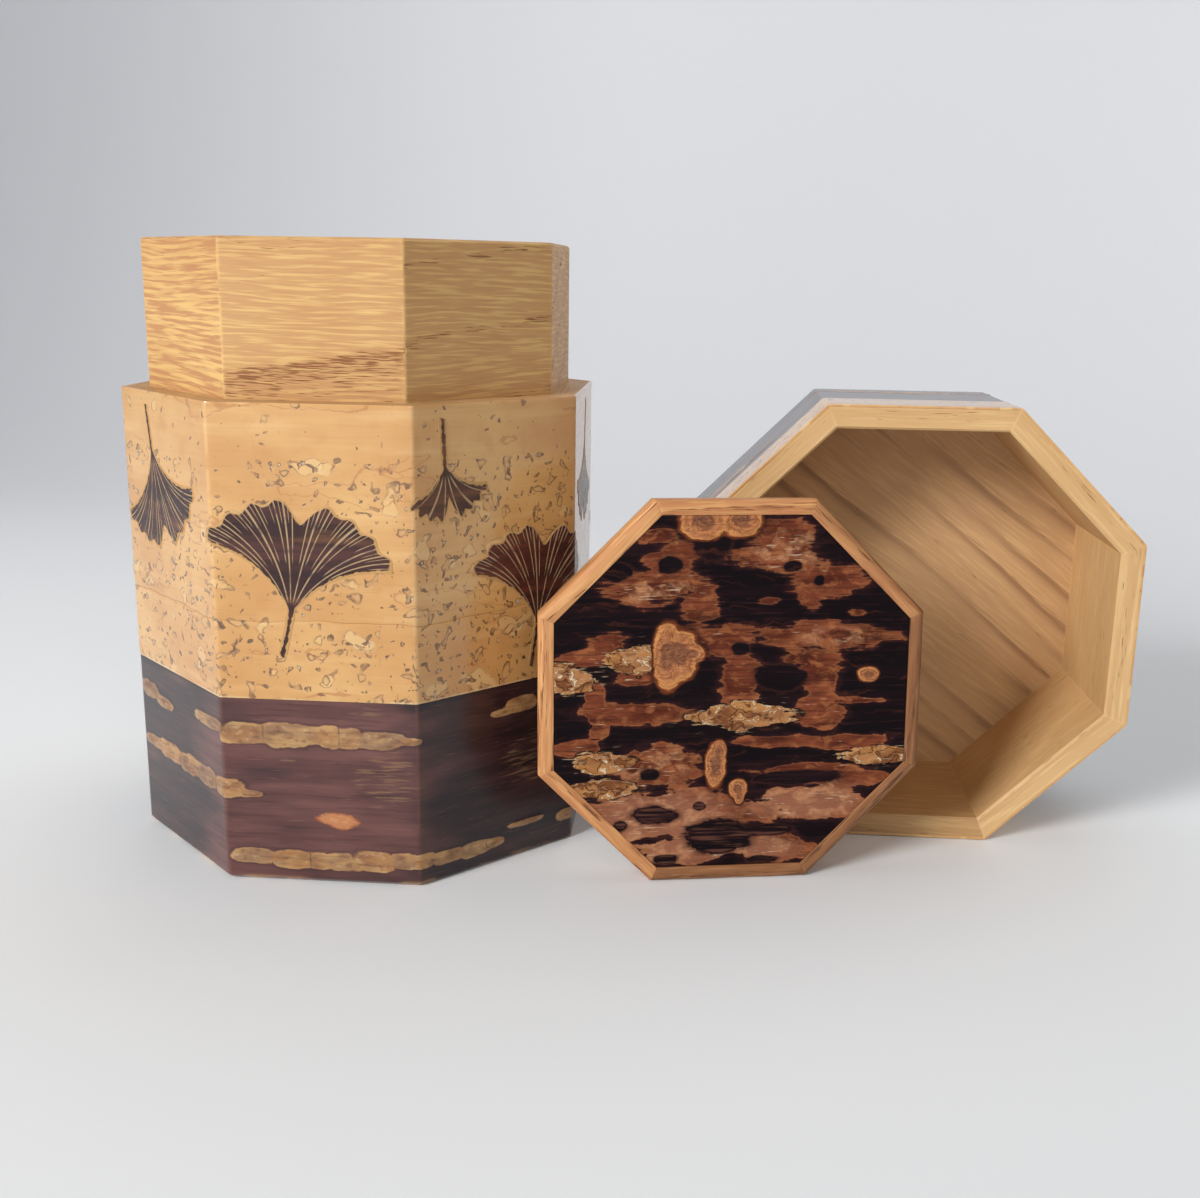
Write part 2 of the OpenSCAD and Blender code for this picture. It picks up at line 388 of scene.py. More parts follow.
curl = (bars.rise(0.42, 0.58) - 0.5) * given["Curl"]
tone = fibre * 0.4 + (lines * 0.6 + 0.30) + curl
wires.fill(out, Tone=tone, Early=early, Pore=pore, Height=fibre * 0.5 - pore)
print("wood group:", len(wires.tree.nodes), "nodes")

# %% [markdown]
# ## Worn edges
# Fingers and lids rub the arrises of bare wood, so they turn paler and smoother than the faces. The Bevel
# node tells how far a point is from an edge: near one, the rounded normal that it gives leans away from the
# true one.

# %% Node group: worn edge
wires, given, out = new_group("Worn edge", {"Vector": None, "Width": 0.5 * MM}, ["Mask"])
rounded = wires.node("Bevel", {"samples": 6}, Radius=given["Width"])["Normal"]
agree = wires.vector("DOT_PRODUCT", rounded, wires.node("NewGeometry")["Normal"], "Value")
uneven = wires.noise(given["Vector"], 260.0, 3.0).rise(0.30, 0.62)
wires.fill(out, Mask=agree.rise(0.995, 0.88) * uneven)
print("worn edge group:", len(wires.tree.nodes), "nodes")

# %% [markdown]
# ## One wood, many staves
# A stave's grain runs along its length, and the growth bands stack across it. Two directions per stave are
# enough to turn the wood group, because the third follows. A look given per stave sets how curly,
# porous and dark it is. Each tone of wood has four colours: dull and bright fibres, the dark of the growth
# bands, and the pores.

# %% Wood material
WOOD_TONES = {
    "golden": ("#bd8a5b", "#e0b976", "#ac6f40", "#7c4527"),
    "tan": ("#b98d5e", "#cfa873", "#8f6338", "#7a5233"),
    "cream": ("#d3a975", "#e6c28b", "#b5834c", "#91653c"),
    "smoky": ("#c2966a", "#d8b07c", "#80593a", "#6d4a30"),
    "orange": ("#bb7a4d", "#dda468", "#96582f", "#5f3520"),
    "amber": ("#c68653", "#e6b074", "#a2643a", "#6b3d25"),
    # russet and umber serve the edging strips on the right and at the bottom of the inner lid, where their
    # darker colours are painted shade.
    "russet": ("#a96c45", "#c9925c", "#86502d", "#55301d"),
    "umber": ("#86552f", "#a9744a", "#6a4127", "#45281a"),
}


def wood(name, tone, grain, across, seed, banding=0.35, edge=0.5, ring=None, patchy=0, **look):
    """Open-pored wood with its fibres along grain and its growth bands stacked along across.
    A ring is the height at which one year's growth ends in the middle of the piece. Patchy wood has bands
    that come and go."""
    dull, bright, dark, pit = WOOD_TONES[tone]
    look = {**PLAIN_GRAIN, **{key.capitalize(): float(value) for key, value in look.items()}}
    grain = Vector(grain).normalized()
    across = Vector(across).normalized()
    turn = Matrix((grain, across.cross(grain), across)).to_euler("XYZ")
    away = seed * 0.137
    up = seed * 0.0233 if ring is None else -ring - look["Slope"] * away
    material, wires, surface = new_material(name, Specular_IOR_Level=0.4)
    place = wires.node("TexCoord")["Object"]
    laid = wires.node("Mapping", Vector=place, Rotation=turn, Location=(away, seed * 0.071, up))["Vector"]
    grown = wires.group("Open-pored wood", Vector=laid, **look)
    bands = grown["Early"] * banding
    if patchy:
        bands = bands * wires.noise(laid, (18, patchy, patchy), 1.0).rise(0.36, 0.66)
    cloud = wires.noise(place, 45.0).rise(0.35, 0.7)
    rubbed = wires.group("Worn edge", Vector=place, Width=edge * MM)["Mask"]
    colour = wires.layers(
        wires.mix(grown["Tone"], dull, bright),
        (bands, dark),
        (cloud * 0.18, dark),
        (grown["Pore"] * 0.8, pit),
        (rubbed * 0.6, bright),
    )
    dry = cloud * 0.12 + (grown["Pore"] * 0.25 + 0.50)
    wires.fill(surface, Base_Color=colour, Roughness=dry, Normal=wires.bump(grown["Height"], 0.06 * MM))
    return material


def dress(node, material):
    """Gives a CAD node its material."""
    slots = nodes[node].material_slots
    if slots:
        slots[0].material = material
    else:
        nodes[node].data.materials.append(material)


print("wood tones:", list(WOOD_TONES))

# %% Staves of the neck and the body
FACES = range(1, SIDES + 1)
NECK_LOOKS = {
    1: dict(curl=0.1, slope=-0.155, bands=38, pores=1.1, ring=92.5 * MM, fade=2.6),
    2: dict(curl=0.1, slope=-0.16, bands=80, pores=1.25, ring=97.4 * MM, fade=9, banding=0.15),
    3: dict(curl=0.05, slope=-0.60, bands=90, pores=1.2, fade=7),
    8: dict(curl=0.8, slope=0.06, bands=30, pores=0.3),
}


def face_turn(face):
    """How far a face is turned from the front face, round the upright axis."""
    return (face - 1) * EIGHTH


for face in FACES:
    along = Vector((math.cos(face_turn(face)), math.sin(face_turn(face)), 0))
    look = NECK_LOOKS.get(face, dict(curl=0.1 + 0.2 * (face % 3), slope=0.1 * (face - 5.5)))
    dress(f"neck_stave_{face}", wood(f"neck_wood_{face}", "golden", along, UP, face, edge=0.8, **look))
    dress(f"body_stave_{face}", wood(f"body_wood_{face}", "tan", along, UP, face + 20, edge=0.8))
dress("base_board", wood("base_wood", "tan", (1, 0, 0), (0, 1, 0), 31, bands=110))
print("neck and body staves dressed")

# %% Staves and board of the outer lid
LID_AXIS = Vector((0, 1, 0))
LID_LOOK = dict(bands=190, sharp=0.7, curl=0, pores=0.8)
BOTTOM_FACE_IN_SHADE, BOARD_SLANT = 5, math.radians(36)

for face in FACES:
    along = Vector((math.cos(face_turn(face)), 0, -math.sin(face_turn(face))))
    look = dict(LID_LOOK, slope=0.03 * (face % 4 - 1.5), banding=0.5, lines=1.1)
    # The stave that the lid lies on gets the darker tan wood: painted shade, for the dim floor inside the lid
    # and the inner lid's shadow on its rim. The others are cream.
    tone = "tan" if face == BOTTOM_FACE_IN_SHADE else "cream"
    stave_wood = wood(f"lid_wood_{face}", tone, along, along.cross(LID_AXIS), face + 40, **look)
    dress(f"lid_stave_{face}", stave_wood)
along = Vector((math.cos(BOARD_SLANT), 0, -math.sin(BOARD_SLANT)))
look = dict(LID_LOOK, slope=0.05, fade=4, banding=2.2, lines=0.8, patchy=210)
dress("lid_top_board", wood("lid_board_wood", "smoky", along, along.cross(LID_AXIS), 57, **look))
print("outer lid dressed")

# %% Board of the inner lid
plug_level, plug_rise, plug_out = (PLUG_PLACE.to_3x3().col[i] for i in range(3))
dress("inner_lid_board", wood("plug_wood", "tan", plug_level, plug_rise, 71, bands=120))
print("inner lid board dressed")

# %% [markdown]
# ## Sheets of bark round eight sides
# A bark sheet is about half a millimetre thick, is bent round the corners and glued on, and its two ends
# meet at the back. Each wrap starts as an eight-sided circle whose corners are bevelled round. The ring is
# divided finely, extruded up in steps, and the walls divided again, so that there are enough points to
# raise the bark's scars. Solidify then gives the sheet its thickness.

# %% Walls of bark
CORNER_R = 1.0 * MM
CORNER_CUT = CORNER_R * math.tan(EIGHTH / 2)


def bark_wall(name, levels, cell):
    """A thin upright wall on eight sides. A level is a height and the half-width of the wall there."""
    base, half = levels[0]
    wall = started(
        name, bpy.ops.mesh.primitive_circle_add, vertices=SIDES, radius=half / math.cos(EIGHTH / 2),
        fill_type="NGON", rotation=(0, 0, EIGHTH / 2),
    )
    bpy.ops.object.mode_set(mode="EDIT")
    bpy.ops.mesh.select_all(action="SELECT")
    bpy.ops.transform.translate(value=(0, 0, base))
    bpy.ops.mesh.bevel(offset=CORNER_CUT, segments=3, affect="VERTICES")
    bpy.ops.mesh.delete(type="ONLY_FACE")
    pick(wall, "EDGE", lambda edge: edge.calc_length() > 5 * CORNER_R)
    bpy.ops.mesh.subdivide(number_cuts=round(FACE_W / cell) - 1)
    bpy.ops.mesh.select_all(action="SELECT")
    for (low, half_low), (high, half_high) in zip(levels, levels[1:]):
        bpy.ops.mesh.extrude_region_move(TRANSFORM_OT_translate={"value": (0, 0, high - low)})
        share = half_high / half_low
        bpy.ops.transform.resize(value=(share, share, 1), center_override=(0, 0, high))
    tall = max(high[0] - low[0] for low, high in zip(levels, levels[1:]))
    pick(wall, "EDGE", lambda edge: abs(edge.verts[0].co.z - edge.verts[1].co.z) > 0.9 * tall)
    bpy.ops.mesh.subdivide(number_cuts=round(tall / cell) - 1)
    bpy.ops.mesh.select_all(action="SELECT")
    bpy.ops.mesh.normals_make_consistent(inside=False)
    bpy.ops.object.mode_set(mode="OBJECT")
    return wall


def points_of(piece):
    """The places of a mesh's vertices as rows of numbers."""
    spots = np.empty(len(piece.data.vertices) * 3)
    piece.data.vertices.foreach_get("co", spots)
    return spots.reshape(-1, 3)


def unrolled(spots):
    """Where points lie on the sheet laid flat: the way round from the middle of the front, and the height."""
    side = np.round(np.arctan2(spots[:, 0], -spots[:, 1]) / EIGHTH)
    turn = side * EIGHTH
    along = spots[:, 0] * np.cos(turn) + spots[:, 1] * np.sin(turn)
    outward = spots[:, 0] * np.sin(turn) - spots[:, 1] * np.cos(turn)
    return np.column_stack([side * FACE_W + along * HALF / outward, spots[:, 2]])


def lay_map(piece, name, sheet, girth=GIRTH):
    """Stores each face corner's flat place as a UV map in metres. Faces over the back seam don't fold."""
    mesh = piece.data
    corner_vertex = np.empty(len(mesh.loops), int)
    mesh.loops.foreach_get("vertex_index", corner_vertex)
    starts = np.empty(len(mesh.polygons), int)
    mesh.polygons.foreach_get("loop_start", starts)
    flat = sheet[corner_vertex]
    farthest = np.maximum.reduceat(flat[:, 0], starts)
    sizes = np.diff(np.append(starts, len(flat)))
    flat[np.repeat(farthest, sizes) - flat[:, 0] > girth / 2, 0] += girth
    mesh.uv_layers.new(name=name).data.foreach_set("uv", flat.ravel())


def bark_wrap(name, levels, cell):
    """A wall of bark with its flat map, and where its points lie on that map."""
    wall = bark_wall(name, levels, cell)
    sheet = unrolled(points_of(wall))
    lay_map(wall, "BarkMap", sheet)
    return wall, sheet


print("wall tools ready")

# %% Finishing a piece
SHEET = 0.4 * MM
SMOOTH_ANGLE, SHARP_ANGLE = math.radians(38), math.radians(50)


def paint(piece, **fields):
    """Stores numbers from -1 to 1 for each vertex, for the material to read."""
    for name, values in fields.items():
        stored = piece.data.attributes.new(name, "FLOAT", "POINT")
        stored.data.foreach_set("value", np.clip(values, -1, 1).astype(np.float32))


def apply(piece, kind, **settings):
    """Adds a modifier and applies it at once."""
    modifier = piece.modifiers.new(kind.lower(), kind)
    for key, value in settings.items():
        setattr(modifier, key, value)
    bpy.context.view_layer.objects.active = piece
    bpy.ops.object.modifier_apply(modifier=modifier.name)


def lift(piece, name, share, height):
    """Raises the surface by height where the share is 1, less where it is less."""
    group = piece.vertex_groups.new(name=name)
    for i in np.nonzero(share > 0.01)[0]:
        group.add([int(i)], float(share[i]), "REPLACE")
    apply(piece, "DISPLACE", vertex_group=name, mid_level=0, strength=height)


def soften(piece, edge):
    """Rounds the sharp edges and shades the rest smooth."""
    if edge:
        apply(piece, "BEVEL", width=edge, segments=2, limit_method="ANGLE", angle_limit=SHARP_ANGLE)
    bpy.ops.object.select_all(action="DESELECT")
    piece.select_set(True)
    bpy.context.view_layer.objects.active = piece
    bpy.ops.object.shade_smooth_by_angle(angle=SMOOTH_ANGLE)


def finish_sheet(piece, thick, edge=0.12 * MM, even=True):
    """Gives a sheet its thickness, inwards, and softens its cut edges."""
    apply(piece, "SOLIDIFY", thickness=thick, offset=-1, use_even_offset=even)
    soften(piece, edge)


def put_on(piece, body, material, replaced, place=Matrix()):
    """Moves a finished mesh to its place, with its object left at the origin, and dresses it. The piece then
    rides on its body and stands for its CAD node."""
    piece.data.transform(place)
    piece.data.update()
    piece.data.materials.append(material)
    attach(piece, body)
    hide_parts(replaced)
    print(piece.name, "has", len(piece.data.polygons), "faces")


print("finishing tools ready")

# %% [markdown]
# ## Scars and marks
# Cherry bark breathes through rows of corky scars that lie level round the trunk. A row is a chain of
# lumps, so each lump is a rounded mark with a middle and two half-widths. The marks join into one field
# that is 1 in the middle of a lump, 0 on its edge and less than 0 outside. The same field raises the mesh
# and tells the material where to paint, and each lump gets a tone of its own.

# %% Fields of marks
SCAR_BLUNT = 2.8


def marks_field(sheet, marks, blunt, girth=None):
    """How deep each point lies in its nearest mark, how much less deep in the next one, and the mark's tone.
    Marks are in millimetres: middle and half-width, both ways. With a blunt of 1 they are pointed, and with
    4 nearly square."""
    best = np.full(len(sheet), -1.0)
    second = best.copy()
    tone = np.zeros(len(sheet))
    for number, (u, v, wide, high) in enumerate(marks):
        away = sheet[:, 0] / MM - u
        if girth:
            away = (away + girth / MM / 2) % (girth / MM) - girth / MM / 2
        rise = (sheet[:, 1] / MM - v) / high
        depth = 1 - (np.abs(away / wide) ** blunt + np.abs(rise) ** blunt) ** (1 / blunt)
        second = np.maximum(second, np.minimum(best, depth))
        tone[depth > best] = number * 0.618 % 1
        best = np.maximum(best, depth)
    return best, best - second, tone


def ramp(values, low, high):
    """A smooth rise from 0 at low to 1 at high."""
    share = np.clip((values - low) / (high - low), 0, 1)
    return share * share * (3 - 2 * share)


def scar_rows(seed, rows):
    """Chains of lumps, thin at both ends. A row has the place where it starts and its number of lumps."""
    rng = np.random.default_rng(seed)
    marks = []
    for u, v, lumps in rows:
        for i in range(lumps):
            ends = 0.55 if i in (0, lumps - 1) else 1
            wide = rng.uniform(2.0, 4.2)
            u += wide
            marks.append((u, v + rng.uniform(-0.4, 0.4), wide * 1.1, rng.uniform(1.5, 2.3) * ends))
            u += wide * 0.8
    return marks


def scarred(piece, sheet, marks, girth=None, **fields):
    """Paints scars and other fields on a piece, and hands back how deep its points lie in a scar."""
    scar, split, lump = marks_field(sheet, marks, SCAR_BLUNT, girth)
    paint(piece, scar=scar, split=split, lump=lump, **fields)
    return scar


print("mark tools ready")

# %% [markdown]
# ## Bark in the shader
# Two effects serve every bark here. Fine level striation is what the scraper and the growth of the trunk
# leave, and it comes from noise stretched sideways. The arris is where a sheet is bent round a corner: it
# is rubbed and cracks a little, so it shows as a thin broken line. Both read the sheet's own flat map, so
# they follow it round the corners.

# %% Node groups: striation and arris
wires, given, out = new_group("Bark striation", {"Vector": None}, ["Broad", "Fine", "Thread"])
wires.fill(
    out,
    Broad=wires.noise(given["Vector"], (26, 260), 3.0),
    Fine=wires.noise(given["Vector"], (75, 1500), 3.0, 0.6),
    Thread=wires.noise(given["Vector"], (150, 2700), 3.0, 0.6),
)

wires, given, out = new_group("Arris", {"Vector": None, "Width": 0.6 * MM}, ["Mask"])
sides = wires.math("DIVIDE", wires.node("SeparateXYZ", Vector=given["Vector"])["X"], FACE_W)
off_middle = wires.math("ABSOLUTE", sides - wires.math("ROUND", sides))
near = ((0.5 - off_middle) * FACE_W).rise(given["Width"], given["Width"] * 0.3)
broken = wires.noise(given["Vector"], (60, 170), 3.0).rise(0.38, 0.55)
wires.fill(out, Mask=near * broken)
print("bark groups ready")

# %% [markdown]
# ## Dark polished bark
# The dark sheets are the bark's own skin, scraped thin and polished with water and hot iron. Between the
# scars the skin is purple-brown with redder clouds, and it shines. Across the front of the band the skin is
# painted lighter and redder than on the faces beside it: painted light. The scars are dull, ochre and a
# little raised, each lump with a thin dark outline. One small scar is orange, thin tan dashes show where the
# skin was scraped through, and the foot is rubbed bare. The sheet on the lid's top lies flat, so its bark
# has no arris.

# %% Dark bark material
def dark_bark(name, bent=True):
    shine = dict(Specular_IOR_Level=0.1, Coat_Weight=0.8, Coat_Roughness=0.22)
    material, wires, surface = new_material(name, **shine)
    flat = wires.sheet("BarkMap")
    lines = wires.group("Bark striation", Vector=flat)
    tone = lines["Broad"].rise(0.36, 0.66)
    # Where the painted field warm is high, the skin turns from the cold colours to the lighter, redder rosy
    # ones. Over the front of the band this is painted light, the front lighter than the darker faces beside
    # it. The other warm patches are the bark's own tone.
    cold = wires.mix(tone, "#1f1117", "#372023")
    rosy = wires.mix(tone, "#5c3835", "#704843")
    warmth_and_painted_light = (wires.painted("warm") * 0.36 + wires.noise(flat, (45, 110))).rise(0.52, 0.94)
    thin = (wires.painted("scraped") * 0.27 + wires.noise(flat, (180, 1900), 3.0)).rise(0.72, 0.92)
    skin = wires.layers(
        wires.mix(warmth_and_painted_light, cold, rosy),
        (lines["Fine"].rise(0.50, 0.70) * 0.35, "#22121a"),
        (lines["Thread"].rise(0.58, 0.74) * 0.35, "#8a5f52"),
        (thin * 0.6, "#8c694c"),
    )
    if bent:
        arris = wires.group("Arris", Vector=flat, Width=0.5 * MM)["Mask"]
        skin = wires.mix(arris * 0.2, skin, "#83543f")

    soft = wires.noise(flat, (190, 330))
    grit = wires.noise(flat, (520, 950), 3.0)
    depth = (grit - 0.5) * 0.22 + ((soft - 0.5) * 0.7 + wires.painted("scar"))
    split = (soft - 0.5) * 0.4 + wires.painted("split")
    scar = depth.rise(0.0, 0.12)
    cork = wires.layers(
        wires.mix(wires.painted("lump"), "#8a6a50", "#b07c48"),
        (soft.rise(0.62, 0.34) * 0.6, "#74482e"),
        (wires.noise(flat, (110, 260)).rise(0.42, 0.62) * 0.7, "#c39963"),
        (wires.noise(flat, (70, 190)).rise(0.50, 0.68) * 0.5, "#866a55"),
        (lines["Fine"].rise(0.52, 0.66) * 0.35, "#5f3c28"),
        (grit.rise(0.55, 0.68) * 0.4, "#cdaa7c"),
        (grit.rise(0.44, 0.33) * 0.5, "#5f3b28"),
        (split.rise(0.13, 0.04) * 0.65, "#583621"),
        (depth.rise(0.30, 0.16) * depth.rise(0.06, 0.14) * 0.2, "#c89a63"),
        (depth.rise(0.14, 0.02) * 0.55, "#654029"),
    )
    veil = wires.noise(flat, (140, 420), 3.0).rise(0.30, 0.46)
    chips = wires.noise(flat, (90, 240), 3.0).rise(0.47, 0.60)
    eye = (soft - 0.5) * 0.3 + wires.painted("eye")
    ember = wires.mix(eye.rise(0.05, 0.4), "#86472b", "#b97a50")
    ember = wires.mix(grit.rise(0.5, 0.65) * 0.4, ember, "#dca06a")
    colour = wires.layers(
        skin,
        (depth.rise(-0.20, 0.0) * 0.35 - scar * 0.35, "#1d0f12"),
        (scar * (veil * 0.45 + 0.5), cork),
        (wires.painted("foot") * chips, "#b98d5e"),
        (eye.rise(0.0, 0.12), ember),
    )
    polish = wires.math("MAXIMUM", lines["Fine"] * 0.22 + 0.22, scar * 0.55)
    ridges = wires.bump(lines["Thread"], 0.012 * MM)
    flakes = scar * (grit - split.rise(0.08, 0.03) * 0.8)
    relief = wires.bump(flakes, 0.07 * MM, Normal=ridges)
    wires.fill(surface, Base_Color=colour, Roughness=polish, Normal=relief)
    return material


dark_bark_material = dark_bark("polished_dark_bark")
flat_bark_material = dark_bark("polished_flat_bark", bent=False)
print("dark bark:", len(dark_bark_material.node_tree.nodes), "nodes")

# %% Dark band round the foot
FOOT_R = 1.6 * MM
DARK_HALF = HALF - 0.2 * MM
FOOT_HALF = HALF + 0.03 * MM


def rounded_in(rise, radius):
    """How far a rounded edge has drawn in, at a height below its full roundness."""
    return radius - math.sqrt(max(radius**2 - (radius - rise) ** 2, 0))


foot_steps = [share * FOOT_R for share in (0, 0.06, 0.2, 0.45, 0.75, 1)]
foot_levels = [(rise, min(DARK_HALF, FOOT_HALF - 0.95 * rounded_in(rise, FOOT_R))) for rise in foot_steps]
dark_band, dark_sheet = bark_wrap("dark_band", [*foot_levels, (BAND_TOP, DARK_HALF)], cell=0.6 * MM)
print("foot drawn in by", round((DARK_HALF - foot_levels[0][1]) / MM, 2), "mm")

# %% Scars of the dark band
FRONT_SCARS = [
    (-22, 28.4, 6.5, 1.3), (-14, 27.6, 4.8, 2.2), (-5, 27.5, 6, 2.4), (1.8, 27.5, 2.6, 2.2),
    (5.2, 27.4, 3, 2.1), (10.5, 27.2, 4.8, 1.8), (16, 27.2, 2.6, 0.7), (-48, 17.6, 4, 1.2),
    (-40, 17.6, 5, 2), (-32, 17.4, 4.5, 2.1), (-24.5, 17.4, 4.5, 2), (-17.5, 17.2, 4, 1.9),
    (-12.5, 16.4, 2.4, 0.7), (-48, 28, 4, 1.8), (-41.5, 26.8, 4, 1.2), (-12.5, 4.6, 4.4, 1.6),
    (-5.5, 4.3, 4.4, 1.9), (-0.8, 4.1, 2.2, 1.8), (3.2, 4.2, 3, 1.9), (9, 4.4, 4.4, 2.2),
    (14.6, 4.8, 2.8, 1.7), (18.5, 4.7, 2.8, 1.5), (23.5, 4.2, 3.8, 1.4), (29.5, 4, 4, 1.5),
    (33.5, 4.1, 2.8, 1), (40, 29.7, 4, 1.6), (35.5, 28.8, 2.4, 0.7), (50.8, 5.3, 2.4, 1.2),
    (41, 6.2, 4.6, 0.6),
]
BACK_ROWS = [
    (64, 21, 4), (88, 9, 6), (92, 29, 3), (126, 18, 5), (150, 5, 5), (158, 27, 6), (190, 12, 5),
    (206, 28, 3),
]
EYES = [(2, 12.3, 3.8, 1.4), (3.6, 11.8, 3.6, 1.8)]
# The first warm patch lies over the front of the band and paints light there, lighter and redder than the
# faces beside it. The other two are the bark's own tone.
WARM_AND_PAINTED_LIGHT = [(-2, 16, 26, 40), (106, 14, 24, 30), (-120, 20, 22, 30)]
SCRAPED = [
    (11.5, 20, 7.5, 6.5), (13, 22.5, 5, 2), (9, 32, 5, 1), (-5.7, 23, 2, 0.7), (42, 19, 8, 6),
    (84, 20, 9, 5), (-84, 10, 8, 5),
]

eye = marks_field(dark_sheet, EYES, 1.4, GIRTH)[0]
warm = ramp(marks_field(dark_sheet, WARM_AND_PAINTED_LIGHT, 2.0, GIRTH)[0], -0.2, 0.4)
scraped = ramp(marks_field(dark_sheet, SCRAPED, 2.0, GIRTH)[0], -0.3, 0.5)
foot = ramp(-dark_sheet[:, 1], -1.0 * MM, -0.4 * MM)
scars = FRONT_SCARS + scar_rows(8, BACK_ROWS)
scar = scarred(dark_band, dark_sheet, scars, GIRTH, eye=eye, scraped=scraped, warm=warm, foot=foot)
raised = np.maximum(ramp(scar, -0.05, 0.35), ramp(eye, -0.05, 0.3))
lift(dark_band, "scars", raised, height=0.10 * MM)
finish_sheet(dark_band, DARK_HALF - CORE_HALF)
put_on(dark_band, "caddy", dark_bark_material, "dark_bark_band")

# %% [markdown]
# ## Pale scraped bark
# The pale strips are the inner side of the bark, or bark scraped down until it turns golden. What is left
# of the skin shows as pits, as small outlined spots and as larger blotches with a hair-thin dark edge.
# Noise gives all of these: where a smooth noise passes one level it draws closed lines, like the height
# lines of a map, and its highest points give the pits. Two strips meet at a level seam that wavers a
# little, because they were cut by hand.

# %% Pale bark material
# fineness, level and width of the border, colours of the island and its border, strength of the border
ISLANDS = (
    (125, 0.705, 0.016, "#e8c68c", "#9a6a3a", 0.55),
    (210, 0.690, 0.024, "#e4bd80", "#86572e", 0.75),
    (370, 0.680, 0.045, "#cda069", "#6d4526", 0.80),
    (620, 0.690, 0.070, "#b98c5b", "#573720", 0.85),
)


def pale_bark(name):
    shine = dict(Specular_IOR_Level=0.45, Coat_Weight=0.8, Coat_Roughness=0.1)
    material, wires, surface = new_material(name, **shine)
    flat = wires.sheet("BarkMap")
    ways = wires.node("SeparateXYZ", Vector=flat)
    lines = wires.group("Bark striation", Vector=flat)
    colour = wires.layers(
        wires.mix(wires.noise(flat, 42.0, 3.0).rise(0.34, 0.66), "#c99253", "#d8a868"),
        (lines["Broad"].rise(0.50, 0.72) * 0.35, "#e6bd82"),
        (wires.noise(flat, 160.0, 3.0).rise(0.52, 0.72) * 0.3, "#c18347"),
        (lines["Fine"].rise(0.50, 0.70) * 0.14, "#b07a45"),
    )

    plain_top = ways["Y"].rise(75 * MM, 77 * MM) * -0.8 + 1.0
    right_side = ways["X"].rise(16 * MM, 40 * MM) * ways["X"].rise(70 * MM, 52 * MM)
    crowd = (right_side * 0.16 + wires.noise(flat, 62.0)).rise(0.24, 0.57) * plain_top
    off_rim = ways["Y"].rise(0.4 * MM, 0.9 * MM)
    curled = wires.wobbled(wires.wobbled(flat, 180.0, 3.0 * MM), 620.0, 1.2 * MM)
    faded = wires.noise(flat, 500.0).rise(0.34, 0.60)
    relief = 0.0
    for scale, level, border, body, line, strong in ISLANDS:
        shape = wires.noise(curled, (scale * 0.85, scale), 0.5) - 0.06 + crowd * 0.10
        inside = shape.rise(level, level + 0.4 * border)
        rim = inside * shape.rise(level + 1.6 * border, level + 0.7 * border)
        rim = rim * (faded * 0.75 + 0.25) * off_rim
        colour = wires.layers(colour, (inside * 0.5, body), (rim * strong, line))
        relief = relief - rim * 0.6

    comma = wires.noise(curled, (880, 620), 1.0) - 0.08 + crowd * 0.12
    pit = comma.rise(0.69, 0.73) * off_rim
    glint = comma.rise(0.745, 0.775) * faded.rise(0.2, 0.7)
    ticks = wires.noise(curled, (1700, 520), 1.0).rise(0.70, 0.77)
    hair = wires.noise(curled, (30, 110))
    arris = wires.group("Arris", Vector=flat, Width=0.6 * MM)["Mask"]
    foot = ways["Y"].rise(BAND_TOP - 0.1 * MM, BAND_TOP)
    foot = foot * ways["Y"].rise(BAND_TOP + 0.5 * MM, BAND_TOP + 0.25 * MM)
    colour = wires.layers(
        colour,
        (pit * 0.8, "#5e3c23"),
        (glint * 0.7, "#dccbb0"),
        (ticks * (crowd * 0.6), "#744c2a"),
        (hair.rise(0.600, 0.605) * hair.rise(0.617, 0.610) * 0.45, "#a9652f"),
        (arris * 0.2, "#eccb94"),
        (foot * wires.noise(flat, 60.0).rise(0.40, 0.62) * 0.7, "#f0d7a6"),
    )
    polish = lines["Fine"] * 0.24 + 0.20
    grain = wires.bump(lines["Fine"], 0.012 * MM)
    pitted = wires.bump(relief - pit, 0.07 * MM, Normal=grain)
    wires.fill(surface, Base_Color=colour, Roughness=polish, Normal=pitted)
    return material


pale_bark_material = pale_bark("scraped_pale_bark")
print("pale bark:", len(pale_bark_material.node_tree.nodes), "nodes")

# %% Pale strips round the body
PALE_HALF = HALF - 0.1 * MM
WAVER_REACH = 4 * MM


def seam_waver(u):
    """How far the seam between the pale strips strays from level. It closes on itself round the caddy."""
    turn = 2 * math.pi * u / GIRTH
    return (0.20 * np.sin(7 * turn + 1) + 0.12 * np.sin(19 * turn + 2) + 0.06 * np.sin(43 * turn)) * MM


def pale_strip(name, low, high, node):
    strip, sheet = bark_wrap(name, [(low, PALE_HALF), (high, PALE_HALF)], cell=0.75 * MM)
    spots = points_of(strip)
    spots[:, 2] += seam_waver(sheet[:, 0]) * np.clip(1 - np.abs(spots[:, 2] - SEAM_Z) / WAVER_REACH, 0, 1)
    strip.data.vertices.foreach_set("co", spots.ravel())
    u, v = sheet[:, 0] / MM, sheet[:, 1] / MM
    flaky = np.sin(u * 0.9 + np.sin(v * 0.7) * 2) * np.sin(v * 1.1)
    lift(strip, "flakes", np.clip(flaky, 0, 1) * 0.6, height=0.05 * MM)
    finish_sheet(strip, PALE_HALF - CORE_HALF)
    put_on(strip, "caddy", pale_bark_material, node)


pale_strip("pale_strip_lower", BAND_TOP, SEAM_Z, "pale_bark_lower")
pale_strip("pale_strip_upper", SEAM_Z, LEDGE_Z, "pale_bark_upper")

